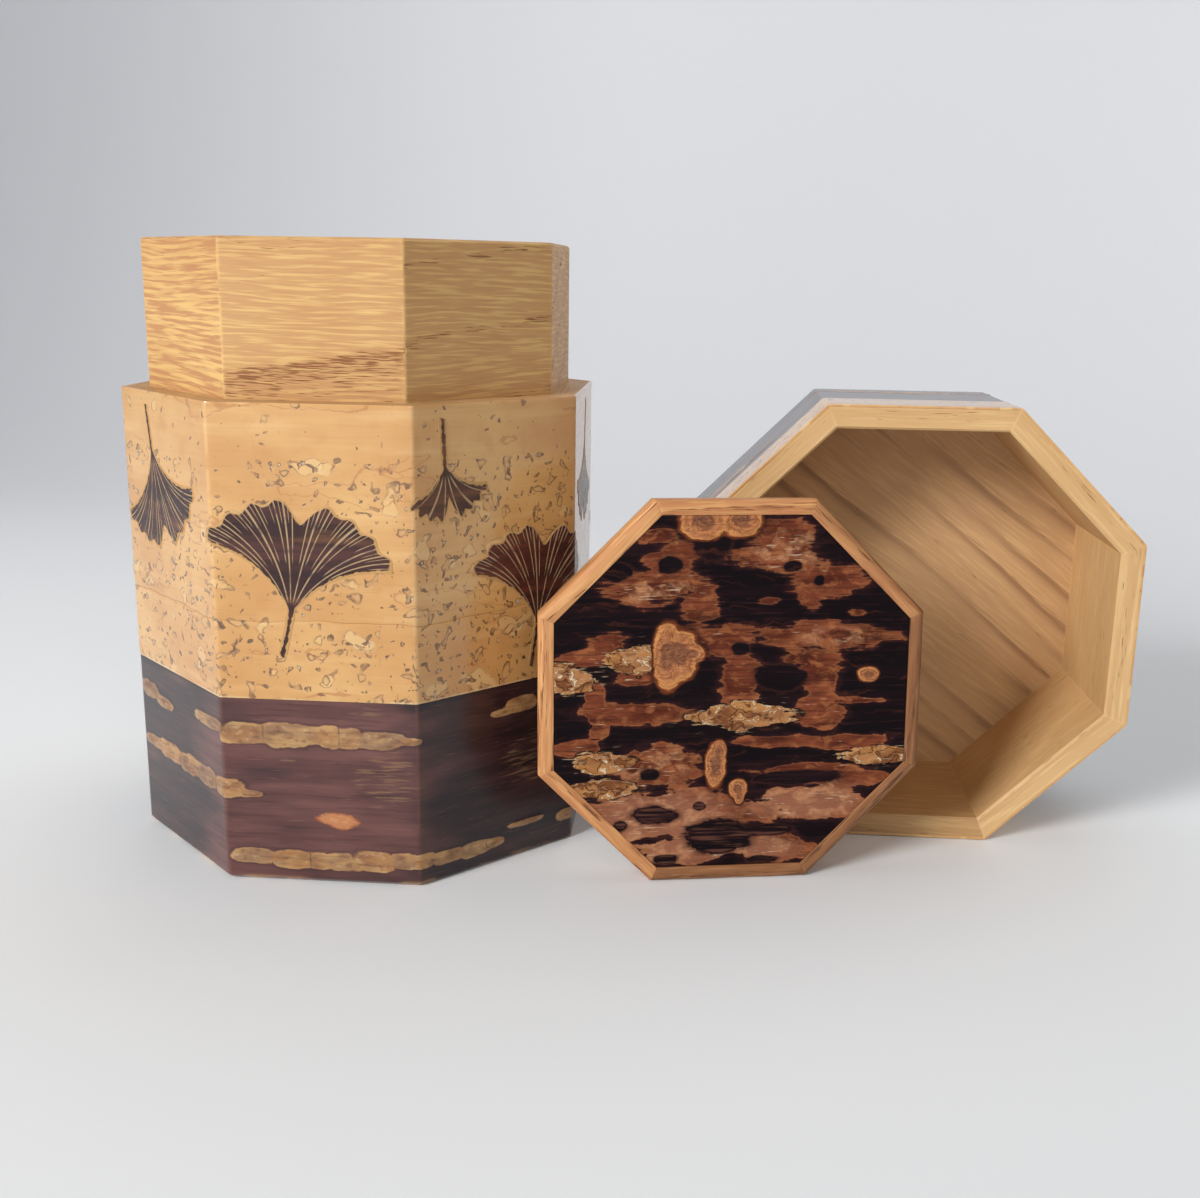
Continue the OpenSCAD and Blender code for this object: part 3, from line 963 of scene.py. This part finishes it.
# %% [markdown]
# ## Leaves let into the pale bark
# Fan-shaped leaves of dark bark are scattered round the pale strips. Each leaf is one grid of quads: its
# width becomes the fan, its height runs from the foot of the stalk to the scalloped rim. The grid is bent
# into the fan, turned, set down on the unrolled sheet and folded round the caddy's corners with it. A
# second flat map keeps the way across the fan and the distance from the stalk, so that the material can
# draw veins that spread and fork.

# %% Shape of a leaf
LEAF_R, LEAF_SPREAD, LEAF_NOTCH, LEAF_WAVE = 20 * MM, math.radians(58), 4 * MM, 0.45 * MM
STALK_L, STALK_W, STALK_REACH, LEAF_MARGIN = 7 * MM, 1.4 * MM, 7.7 * MM, 2 * MM
STALK_SHARE = 0.25


def folded(u, z, half):
    """Lays flat places on the eight-sided body and round its softened corners."""
    side = np.round(u / FACE_W)
    along = (u - side * FACE_W) * half / HALF
    reach = half * math.tan(EIGHTH / 2) - CORNER_CUT
    lean = np.clip(np.abs(along) - reach, 0, CORNER_CUT) / CORNER_CUT * EIGHTH / 2
    x = np.sign(along) * (np.minimum(np.abs(along), reach) + CORNER_R * np.sin(lean))
    out = half - CORNER_R * (1 - np.cos(lean))
    turn = side * EIGHTH
    return np.column_stack([x * np.cos(turn) + out * np.sin(turn), x * np.sin(turn) - out * np.cos(turn), z])


def fan(across, rise, size):
    """Flat places of the leaf, and how far they are from the stalk and from the leaf's edge.
    They come from the way across, from -1 to 1, and the rise from the stalk's foot, from 0 to 1."""
    w = np.clip(rise / STALK_SHARE, 0, 1)
    stalk_x = across * STALK_W / 2 - (1 - w) * STALK_W / 2
    stalk_y = -(1 - w) * (STALK_L + (STALK_REACH - STALK_L) * (across + 1) / 2)
    s = np.clip((rise - STALK_SHARE) / (1 - STALK_SHARE), 0, 1)
    notch = LEAF_NOTCH * np.exp(-((across / 0.09) ** 2))
    edge = size * LEAF_R + LEAF_WAVE * np.cos(9 * math.pi * across) - notch
    far = s * edge
    lean = across * LEAF_SPREAD * (0.45 + 0.55 * s)
    spread = ramp(s, 0, 0.16)
    x = stalk_x * (1 - spread) + far * np.sin(lean) * spread
    inset = (1 - np.abs(across)) * np.maximum(far * LEAF_SPREAD * 0.8, STALK_W / 2)
    return x, stalk_y + far * np.cos(lean), far, np.minimum((1 - s) * edge, inset)


# %% Leaf material
# how many veins, where they start as a share of the leaf, and their width
VEINS = ((6, 0.10, 0.26 * MM), (12, 0.46, 0.17 * MM), (24, 0.80, 0.11 * MM))


def leaf_bark(name, dark, warm):
    material, wires, surface = new_material(name, Specular_IOR_Level=0.4)
    flat = wires.sheet("BarkMap")
    lines = wires.group("Bark striation", Vector=flat)
    ways = wires.node("SeparateXYZ", Vector=wires.wobbled(wires.sheet("LeafMap"), 140.0, 2.2 * MM))
    veins = 0.0
    for count, start, width in VEINS:
        half = width * count / 2 / LEAF_SPREAD
        lane = wires.math("FRACT", ways["X"] * (count / 2))
        away = wires.math("ABSOLUTE", lane - 0.5) * ways["Y"]
        line = away.rise(half, 0.4 * half) * ways["Y"].rise(start * LEAF_R, (start + 0.06) * LEAF_R)
        veins = wires.math("MAXIMUM", veins, line)
    veins = veins * (wires.noise(flat, 420.0).rise(0.30, 0.52) * 0.7 + 0.25)
    torn = ((wires.noise(flat, 900.0) - 0.5) * 0.9 + wires.painted("rim")).rise(0.52, 0.72)
    colour = wires.layers(
        wires.mix(lines["Broad"].rise(0.38, 0.64), dark, warm),
        (wires.noise(flat, (24, 150)).rise(0.60, 0.70) * 0.65, "#8a5c3a"),
        (lines["Fine"].rise(0.48, 0.68) * 0.6, "#231214"),
        (veins * 0.85, "#c0a077"),
        (torn * 0.9, "#c79a5f"),
    )
    cut = wires.math("MAXIMUM", torn, veins)
    polish = cut * 0.3 + (lines["Fine"] * 0.2 + 0.16)
    ridges = wires.bump(lines["Thread"], 0.015 * MM)
    carved = wires.bump(cut, -0.10 * MM, Normal=ridges)
    wires.fill(surface, Base_Color=colour, Roughness=polish, Normal=carved)
    return material


leaf_tones = [
    leaf_bark("leaf_bark_red", "#46211f", "#6b382d"),
    leaf_bark("leaf_bark_black", "#331a1b", "#502d29"),
    leaf_bark("leaf_bark_brown", "#47291d", "#74482e"),
]
print("leaf tones:", [m.name for m in leaf_tones])

# %% Ten leaves
LEAF_HALF = HALF - 0.03 * MM
LEAF_RIM = 1.0 * MM
# place in face widths, hangs or stands, raised by this share of a leaf, size, degrees clockwise
LEAVES = {
    1: (-0.12, False, 0.26, 1.00, 8),
    2: (0.68, True, 0, 0.50, 172),
    3: (1.25, False, 0, 0.95, 6),
    4: (2.05, True, 0, 0.80, 188),
    5: (3.00, False, 0.2, 1.00, -7),
    6: (3.85, True, 0.05, 0.65, 172),
    7: (-3.25, False, 0.1, 0.95, 7),
    8: (-2.45, True, 0, 0.70, 186),
    9: (-1.85, False, 0, 0.70, 6),
    10: (-1.15, True, 0, 0.90, 165),
}

for number, (place, hangs, raised, size, clockwise) in LEAVES.items():
    leaf = started(
        f"leaf_{number}", bpy.ops.mesh.primitive_grid_add, x_subdivisions=84, y_subdivisions=40, size=2
    )
    grid = points_of(leaf)
    x, y, far, inset = fan(grid[:, 0], (grid[:, 1] + 1) / 2, size)
    turn = math.radians(clockwise)
    stand = LEAF_MARGIN + STALK_REACH + raised * LEAF_R
    u = place * FACE_W + x * math.cos(turn) + y * math.sin(turn)
    z = (LEDGE_Z - stand if hangs else BAND_TOP + stand) - x * math.sin(turn) + y * math.cos(turn)
    lay_map(leaf, "BarkMap", np.column_stack([u, z]))
    lay_map(leaf, "LeafMap", np.column_stack([grid[:, 0], far]), math.inf)
    paint(leaf, rim=np.clip(1 - inset / LEAF_RIM, 0, 1))
    leaf.data.vertices.foreach_set("co", folded(u, z, LEAF_HALF).ravel())
    finish_sheet(leaf, SHEET, edge=0.05 * MM)
    put_on(leaf, "caddy", leaf_tones[number % 3], f"leaf_inlay_{number}")

# %% [markdown]
# ## Bark on the outer lid
# The lid carries the same two barks as the body, seen here almost edge on: a pale strip round its mouth,
# then dark bark that runs over a softened edge to the top sheet. The walls are made standing, as on the
# body, and then laid on their side by the lid's own matrix. The top sheet is a grid cut to eight sides by
# four slanting bisects, and its rim is extruded down and out in steps.

# %% Walls of the lid
LID_R = 2.0 * MM
LID_ROWS = [(-60, 18, 5), (-20, 29, 6), (24, 20, 4), (60, 30, 5), (92, 17, 6), (140, 26, 5), (-110, 27, 6)]

lid_pale = bark_wrap("lid_pale_sheet", [(0, PALE_HALF), (LID_PALE, PALE_HALF)], cell=0.9 * MM)[0]
finish_sheet(lid_pale, PALE_HALF - CORE_HALF)
put_on(lid_pale, "outer_lid", pale_bark_material, "lid_pale_bark", LID_PLACE)

bend_steps = [LID_H - LID_R * share for share in (1, 0.75, 0.5)] + [LID_WOOD]
bend_levels = [(z, DARK_HALF - rounded_in(LID_H - z, LID_R)) for z in bend_steps]
lid_dark, lid_sheet = bark_wrap("lid_dark_sheet", [(LID_PALE, DARK_HALF), *bend_levels], cell=0.8 * MM)
no_eye = np.full(len(lid_sheet), -1.0)
scar = scarred(lid_dark, lid_sheet, scar_rows(21, LID_ROWS), GIRTH, eye=no_eye)
lift(lid_dark, "scars", ramp(scar, -0.05, 0.35), height=0.12 * MM)
finish_sheet(lid_dark, DARK_HALF - CORE_HALF)
put_on(lid_dark, "outer_lid", dark_bark_material, "lid_dark_bark", LID_PLACE)


# %% Top sheet of the lid
def eight_sided_panel(name, half, cell):
    """A flat grid cut to eight sides, facing up."""
    count = round(2 * half / cell)
    panel = started(
        name, bpy.ops.mesh.primitive_grid_add, x_subdivisions=count, y_subdivisions=count, size=2 * half
    )
    bpy.ops.object.mode_set(mode="EDIT")
    for slant in range(4):
        way = Vector((math.cos(EIGHTH * (2 * slant + 1)), math.sin(EIGHTH * (2 * slant + 1)), 0))
        bpy.ops.mesh.select_all(action="SELECT")
        bpy.ops.mesh.bisect(plane_co=way * half, plane_no=way, clear_outer=True)
    bpy.ops.mesh.select_all(action="SELECT")
    bpy.ops.mesh.remove_doubles(threshold=0.02 * MM)
    bpy.ops.object.mode_set(mode="OBJECT")
    return panel


TOP_HALF = DARK_HALF - LID_R * 0.9
TOP_ROWS = [(-34, 10, 5), (2, 24, 5), (-20, -16, 7), (14, -4, 4), (-10, -31, 4)]

lid_top = eight_sided_panel("lid_top_sheet", TOP_HALF, 1.0 * MM)
bpy.ops.object.mode_set(mode="EDIT")
pick(lid_top, "EDGE", lambda edge: edge.is_boundary)
drop = 0.0
reach = TOP_HALF
for lower in (0.10 * MM, 0.30 * MM, LID_H - LID_WOOD):
    wider = DARK_HALF - rounded_in(lower, LID_R)
    bpy.ops.mesh.extrude_region_move(TRANSFORM_OT_translate={"value": (0, 0, drop - lower)})
    bpy.ops.transform.resize(value=(wider / reach, wider / reach, 1), center_override=(0, 0, -lower))
    drop, reach = lower, wider
bpy.ops.object.mode_set(mode="OBJECT")
top_sheet = points_of(lid_top)[:, :2].copy()
lay_map(lid_top, "BarkMap", top_sheet)
eye = marks_field(top_sheet, [(20, 12, 3.6, 1.7)], 1.7)[0]
warm = ramp(marks_field(top_sheet, [(6, 6, 34, 26)], 2.0)[0], -0.2, 0.5)
scarred(lid_top, top_sheet, scar_rows(5, TOP_ROWS), eye=eye, warm=warm)
finish_sheet(lid_top, SHEET, edge=0, even=False)
top_place = LID_PLACE @ Matrix.Translation((0, 0, LID_H))
put_on(lid_top, "outer_lid", flat_bark_material, "lid_top_bark", top_place)

# %% [markdown]
# ## Edging of the inner lid
# Eight strips with mitred ends frame the inner lid. Their outer edge is rounded over by hand, so the strips
# on the left catch the light and those on the right fall dark. The strips at the bottom and on the right are
# also given darker wood than those at the top and on the left, which is painted shade. One strip is shaped
# from a box: its back edge is drawn in, because the lid tapers to plug the neck, its front edge is bevelled
# round, and two bisects cut the mitres. The strip is then copied eight times, each copy turned and worn a
# little differently.

# %% One edging strip
EDGE_ROUND = 1.4 * MM
TOUCH = 0.1 * MM
to_plug = PLUG_PLACE.inverted()
strip_spots = np.array([to_plug @ v.co for v in nodes["inner_lid_edge_1"].data.vertices])
EDGE_OUT, EDGE_BACK = -strip_spots[:, 1].min(), strip_spots[:, 2].min()
back_spots = strip_spots[strip_spots[:, 2] < EDGE_BACK + TOUCH]
DRAWN_IN = EDGE_OUT + back_spots[:, 1].min()
EDGE_IN = PANEL_HALF


def on_outside(v):
    return v.co.y < -EDGE_OUT + TOUCH


strip = started(
    "edging_strip", bpy.ops.mesh.primitive_cube_add, size=1,
    location=(0, -(EDGE_OUT + EDGE_IN) / 2, EDGE_BACK / 2),
    scale=(EDGE_OUT, EDGE_OUT - EDGE_IN, -EDGE_BACK),
)
bpy.ops.object.mode_set(mode="EDIT")
pick(strip, "VERT", lambda v: on_outside(v) and v.co.z < EDGE_BACK / 2)
bpy.ops.transform.translate(value=(0, DRAWN_IN, 0))
pick(strip, "EDGE", lambda edge: all(on_outside(v) and v.co.z > -TOUCH for v in edge.verts))
bpy.ops.mesh.bevel(offset=EDGE_ROUND, segments=7, affect="EDGES")
for hand in (1, -1):
    bpy.ops.mesh.select_all(action="SELECT")
    mitre = (hand * math.cos(EIGHTH / 2), math.sin(EIGHTH / 2), 0)
    bpy.ops.mesh.bisect(plane_co=(0, 0, 0), plane_no=mitre, use_fill=True, clear_outer=True)
pick(strip, "EDGE", lambda edge: abs(edge.verts[0].co.x - edge.verts[1].co.x) > 10 * MM)
bpy.ops.mesh.subdivide(number_cuts=30)
bpy.ops.mesh.select_all(action="SELECT")
bpy.ops.mesh.normals_make_consistent(inside=False)
bpy.ops.object.mode_set(mode="OBJECT")
print("strip drawn in by", round(DRAWN_IN / MM, 2), "mm at its back")

# %% Eight edging strips
# Tones from the bottom strip round by the right, the top and the left: the darker umber and russet on the
# bottom, lower right, right and upper right strips are painted shade.
EDGE_TONES_WITH_PAINTED_SHADE = ("umber", "umber", "umber", "russet", "orange", "amber", "amber", "orange")
EDGE_LOOK = dict(bands=420, pores=0.9, banding=0.45, edge=0.3)

for face, tone in zip(FACES, EDGE_TONES_WITH_PAINTED_SHADE):
    edging = strip.copy()
    edging.data = strip.data.copy()
    edging.name = f"edging_{face}"
    scene.collection.objects.link(edging)
    spots = points_of(edging)
    x = spots[:, 0] / MM
    worn = 0.09 + 0.06 * np.sin(x * 0.45 + face) + 0.03 * np.sin(x * 1.3 + 2 * face)
    outer = ramp(-spots[:, 1], EDGE_IN + 0.6 * MM, EDGE_OUT) * ramp(spots[:, 2], EDGE_BACK * 0.6, 0)
    spots[:, 2] -= worn * MM * outer
    edging.data.vertices.foreach_set("co", spots.ravel())
    soften(edging, 0.08 * MM)
    along = plug_level * math.cos(face_turn(face)) + plug_rise * math.sin(face_turn(face))
    look = dict(EDGE_LOOK, slope=0.05 * (face % 3 - 1))
    edging_wood = wood(f"edging_wood_{face}", tone, along, along.cross(plug_out), face + 60, **look)
    place = PLUG_PLACE @ Matrix.Rotation(face_turn(face), 4, "Z")
    put_on(edging, "inner_lid", edging_wood, f"inner_lid_edge_{face}", place)
bpy.data.objects.remove(strip)

# %% [markdown]
# ## Figured bark on the inner lid
# The inner lid shows the best piece of bark: a near-black skin, scraped through to red-brown in level
# pools, with knots where twigs grew and flaky scars that have split. Noise alone would give pools anywhere,
# so their places are given as marks, and noise only frays their edges. Knots and scars stand up a
# little from the skin.

# %% Marks of the figured bark
# middle across and up, half-width and half-height, in millimetres
KNOTS = [
    (-11.7, 7, 2.7, 6.1), (-9.8, 7.2, 3.6, 4.6), (-7.6, 7.4, 2.6, 1.8), (-5.9, 30.8, 4.3, 3.3),
    (0.8, 31, 3.7, 3.1), (24.5, 3.1, 2, 1.5), (-2.9, -12.9, 1.9, 4.2), (-2.3, -10.4, 1.4, 2.2),
    (1.3, -17.4, 1.7, 1.8), (1.6, -19, 0.9, 1.4),
]
FLAKY = [
    (2.1, -4.2, 9.8, 2.6), (-17.2, 6.4, 5.8, 2.8), (-30.2, 3.1, 6.2, 2.8), (-22.6, -12, 5.4, 2.2),
    (-23, -16.8, 6.4, 2), (27.6, -12, 7.6, 1.9),
]
POOLS = [
    (9.1, 27.5, 6, 4), (7.2, 24, 10, 2), (16.5, 20.2, 7, 2.8), (13.5, 17.2, 2.2, 2),
    (-14.5, 19.4, 8.6, 3.2), (-9.6, 25.2, 4.2, 2.2), (-12, 23, 4.4, 3.2), (-6.2, 15.7, 3.2, 4.6),
    (-2.5, 9.7, 6, 3.2), (1.2, 2.6, 4, 5), (16.5, 10.2, 13, 2.4), (15.3, 4, 4.4, 4),
    (12.6, 6.3, 5, 1.6), (16, -3.8, 4.8, 3.2), (22, -1.6, 5, 0.7), (8.6, -8.8, 9, 1.1),
    (21.6, -9.2, 7, 1.4), (-17.3, -3.2, 10.4, 2.3), (-24.5, -1.9, 1.8, 4.6), (-23.8, -5.8, 1.9, 1.8),
    (-27.5, -9.3, 4.4, 1.5), (-13.6, -13, 9.4, 4.2), (-10.8, -21.8, 16, 5), (16.5, -20.4, 11, 3.4),
    (20.2, -16, 9, 1.7), (7.2, -28.2, 9, 2.8), (-8.1, -29, 9, 3), (4, -21.6, 7, 2.2),
    (-22, 9.4, 3.4, 2.2), (-26.5, 6.6, 4.4, 1.6), (6.1, 16.6, 2.2, 0.8), (22.3, 14.4, 2, 0.8),
    (-17.4, 3.4, 4, 1.5), (14, -14, 10, 1.1), (-14, 28.4, 4, 1.8),
]
OVALS = [
    (-11.5, 23, 2.4, 1.6), (1.2, 8.2, 1.8, 1.2), (8.4, 2.8, 5.2, 2.6), (15, 20.2, 1.2, 1),
    (10, 22.7, 1.7, 0.9), (-5.7, -20.5, 1.2, 0.9), (-14, -22, 4.4, 1.9), (-14.8, -14.4, 2, 1.1),
    (-1.7, -26.4, 6.2, 3.3), (7, -25.4, 5, 1.1), (-19.9, -23.8, 1.5, 1.1), (-11.5, -30.4, 2.6, 0.9),
    (6, -30.8, 3, 0.7), (-4.4, 26.6, 3.4, 3), (13, -15.6, 8, 1.4), (-21, 22, 3, 1.8),
]
BLOOMS = [
    (-13, -25, 15, 10), (9, 25.5, 8, 4), (14, -20, 13, 4.5), (-15, -12, 9, 4), (18, 10, 7, 2),
    (-14, 18.5, 7, 3), (2, -29, 12, 3),
]
print(len(KNOTS), "knots,", len(FLAKY), "scars,", len(POOLS), "pools")


# %% Figured bark material
def figured_bark(name):
    material, wires, surface = new_material(name, Specular_IOR_Level=0.1)
    flat = wires.sheet("BarkMap")
    curled = wires.wobbled(flat, 260.0, 4.0 * MM)
    lines = wires.group("Bark striation", Vector=flat)
    fray = wires.noise(flat, (95, 240))
    ragged = wires.noise(curled, (320, 560), 3.0)
    flame = wires.noise(flat, (90, 1500), 3.0)
    grit = wires.noise(flat, (900, 1300), 3.0)
    smear = wires.noise(curled, (70, 620), 4.0, 0.65)
    swirl = wires.noise(curled, (260, 460))
    scratch = wires.noise(flat, (230, 2900))
    bloom = wires.painted("bloom")
    high = wires.node("SeparateXYZ", Vector=flat)["Y"]
    upper = high.rise(0.0, 12 * MM)
    lower = high.rise(-14 * MM, -20 * MM)

    def frayed(field, *amounts):
        """A painted field whose edges are frayed by noise, soft, ragged and level."""
        value = wires.painted(field)
        for noise, amount in zip((fray, ragged, flame), amounts):
            value = (noise - 0.5) * amount + value
        return value

    pool = frayed("pool", 1.6, 0.8, upper * 0.7 + 0.3)
    oval = frayed("oval", 0.8, 0.8, 0.3)
    knot = frayed("knot", 0.35, 0.3, 0.2)
    flake = frayed("flake", 0.9, 0.8, 0.6) - knot.rise(-0.15, 0.02) * 2.0

    skin = wires.layers(
        wires.mix(lines["Broad"].rise(0.45, 0.72), "#0a0206", "#1d0a10"),
        (lines["Fine"].rise(0.54, 0.74) * 0.45, "#44221f"),
        (smear.rise(0.55, 0.70) * 0.6, "#4a2419"),
    )
    mottle = bloom * (grit.rise(0.42, 0.62) * 0.6 + 0.4) * swirl.rise(0.46, 0.60)
    brown = wires.layers(
        wires.mix(fray.rise(0.34, 0.66), "#4f2013", "#7d4029"),
        (ragged.rise(0.48, 0.66) * 0.65, "#a0613b"),
        (flame.rise(0.48, 0.66) * 0.55, "#371711"),
        (lines["Thread"].rise(0.56, 0.74) * 0.3, "#ac6f44"),
        (smear.rise(0.46, 0.34) * 0.55, "#2e1410"),
        (smear.rise(0.56, 0.70) * 0.45, "#a8653d"),
        (bloom * lower * 0.65, "#a06a50"),
        (mottle * 0.7, "#bd8862"),
        ((bloom * 0.06 + scratch).rise(0.67, 0.76) * 0.6, "#d3bb9b"),
    )
    striped = wires.mix(flame.rise(0.46, 0.66), skin, "#56352b")
    hole = wires.mix(oval.rise(0.16, 0.30) * lower, skin, striped)

    rings = wires.math("SINE", ragged * 14.0 + knot * 17.0)
    lit = fray.rise(0.36, 0.58) * 0.7 + 0.15
    heart = wires.layers(
        wires.mix(rings.rise(-0.9, 0.9), "#9c5f3d", "#bb7a4d"),
        (flame.rise(0.50, 0.66) * 0.4, "#6b3b28"),
        (grit.rise(0.54, 0.68) * 0.35, "#cf9f72"),
        (knot.rise(0.36, 0.75) * (grit * 0.8 + 0.2), "#5a3a31"),
        (knot.rise(0.36, 0.08) * lit, "#d08f55"),
    )

    flecks = swirl.rise(0.52, 0.535) * swirl.rise(0.565, 0.55)
    cracks = swirl.rise(0.42, 0.435) * swirl.rise(0.465, 0.45)
    papery = wires.layers(
        wires.mix(swirl.rise(0.36, 0.62), "#764529", "#ad774a"),
        (fray.rise(0.46, 0.64) * 0.45, "#c98f52"),
        (grit.rise(0.54, 0.70) * 0.3, "#c8a071"),
        (flecks * grit.rise(0.40, 0.56) * 0.8, "#e6d5b6"),
        (cracks * 0.75, "#4a2917"),
        (flake.rise(0.12, 0.04) * flame.rise(0.42, 0.58) * 0.5, "#dfbd8e"),
    )

    crisp = pool.rise(-0.02, 0.08)
    bare = (pool.rise(-0.12, 0.22) - crisp) * upper + crisp
    colour = wires.layers(
        skin,
        (pool.rise(-0.35, 0.05) * 0.6, "#38191a"),
        (bare, brown),
        (crisp * pool.rise(0.20, 0.05) * 0.4, "#a0633c"),
        (oval.rise(-0.25, 0.0) * 0.5, "#3d1f1a"),
        (oval.rise(-0.04, 0.14), hole),
        (knot.rise(-0.45, -0.08) * 0.75, "#16090c"),
        (knot.rise(-0.16, 0.02) * 0.75, "#7c3d20"),
        (knot.rise(0.0, 0.10), heart),
        # a near-black band round each flaky scar, where its edge lifts: painted shadow in the gap under that
        # edge
        (flake.rise(-0.16, 0.0) * ragged.rise(0.40, 0.55), "#130809"),
        (flake.rise(0.0, 0.07), papery),
        (flake.rise(-0.7, -0.1) * scratch.rise(0.62, 0.70) * 0.55, "#cdb596"),
    )
    raw = wires.math("MAXIMUM", knot.rise(0.0, 0.06), flake.rise(0.0, 0.08))
    polish = raw * 0.25 + (bare * 0.12 + (lines["Fine"] * 0.2 + 0.26))
    ridges = wires.bump(lines["Thread"], 0.012 * MM)
    edge = wires.bump(bare, -0.03 * MM, Normal=ridges)
    peel = wires.bump(raw * (grit + flecks - cracks), 0.14 * MM, Normal=edge)
    wires.fill(surface, Base_Color=colour, Roughness=polish, Normal=peel)
    return material


figured_material = figured_bark("figured_inner_bark")
print("figured bark:", len(figured_material.node_tree.nodes), "nodes")

# %% Panel of figured bark
SKIN_DROP = 0.16 * MM
panel = eight_sided_panel("figured_panel", PANEL_HALF - 0.05 * MM, 0.5 * MM)
panel_sheet = points_of(panel)[:, :2].copy()
lay_map(panel, "BarkMap", panel_sheet)
knot = marks_field(panel_sheet, KNOTS, 2.2)[0]
flake = marks_field(panel_sheet, FLAKY, 1.5)[0]
pool, oval, bloom = (marks_field(panel_sheet, marks, 2.0)[0] for marks in (POOLS, OVALS, BLOOMS))
paint(panel, knot=knot, flake=flake, pool=pool, oval=oval, bloom=ramp(bloom, -0.2, 0.5))
dished = 1 - 0.35 * ramp(knot, 0.35, 0.8)
raised = np.maximum(ramp(knot, -0.06, 0.2) * dished, ramp(flake, -0.05, 0.35))
lift(panel, "raised", raised, height=0.15 * MM)
finish_sheet(panel, SHEET, edge=0.1 * MM)
panel_place = PLUG_PLACE @ Matrix.Translation((0, 0, -SKIN_DROP))
put_on(panel, "inner_lid", figured_material, "inner_lid_bark", panel_place)
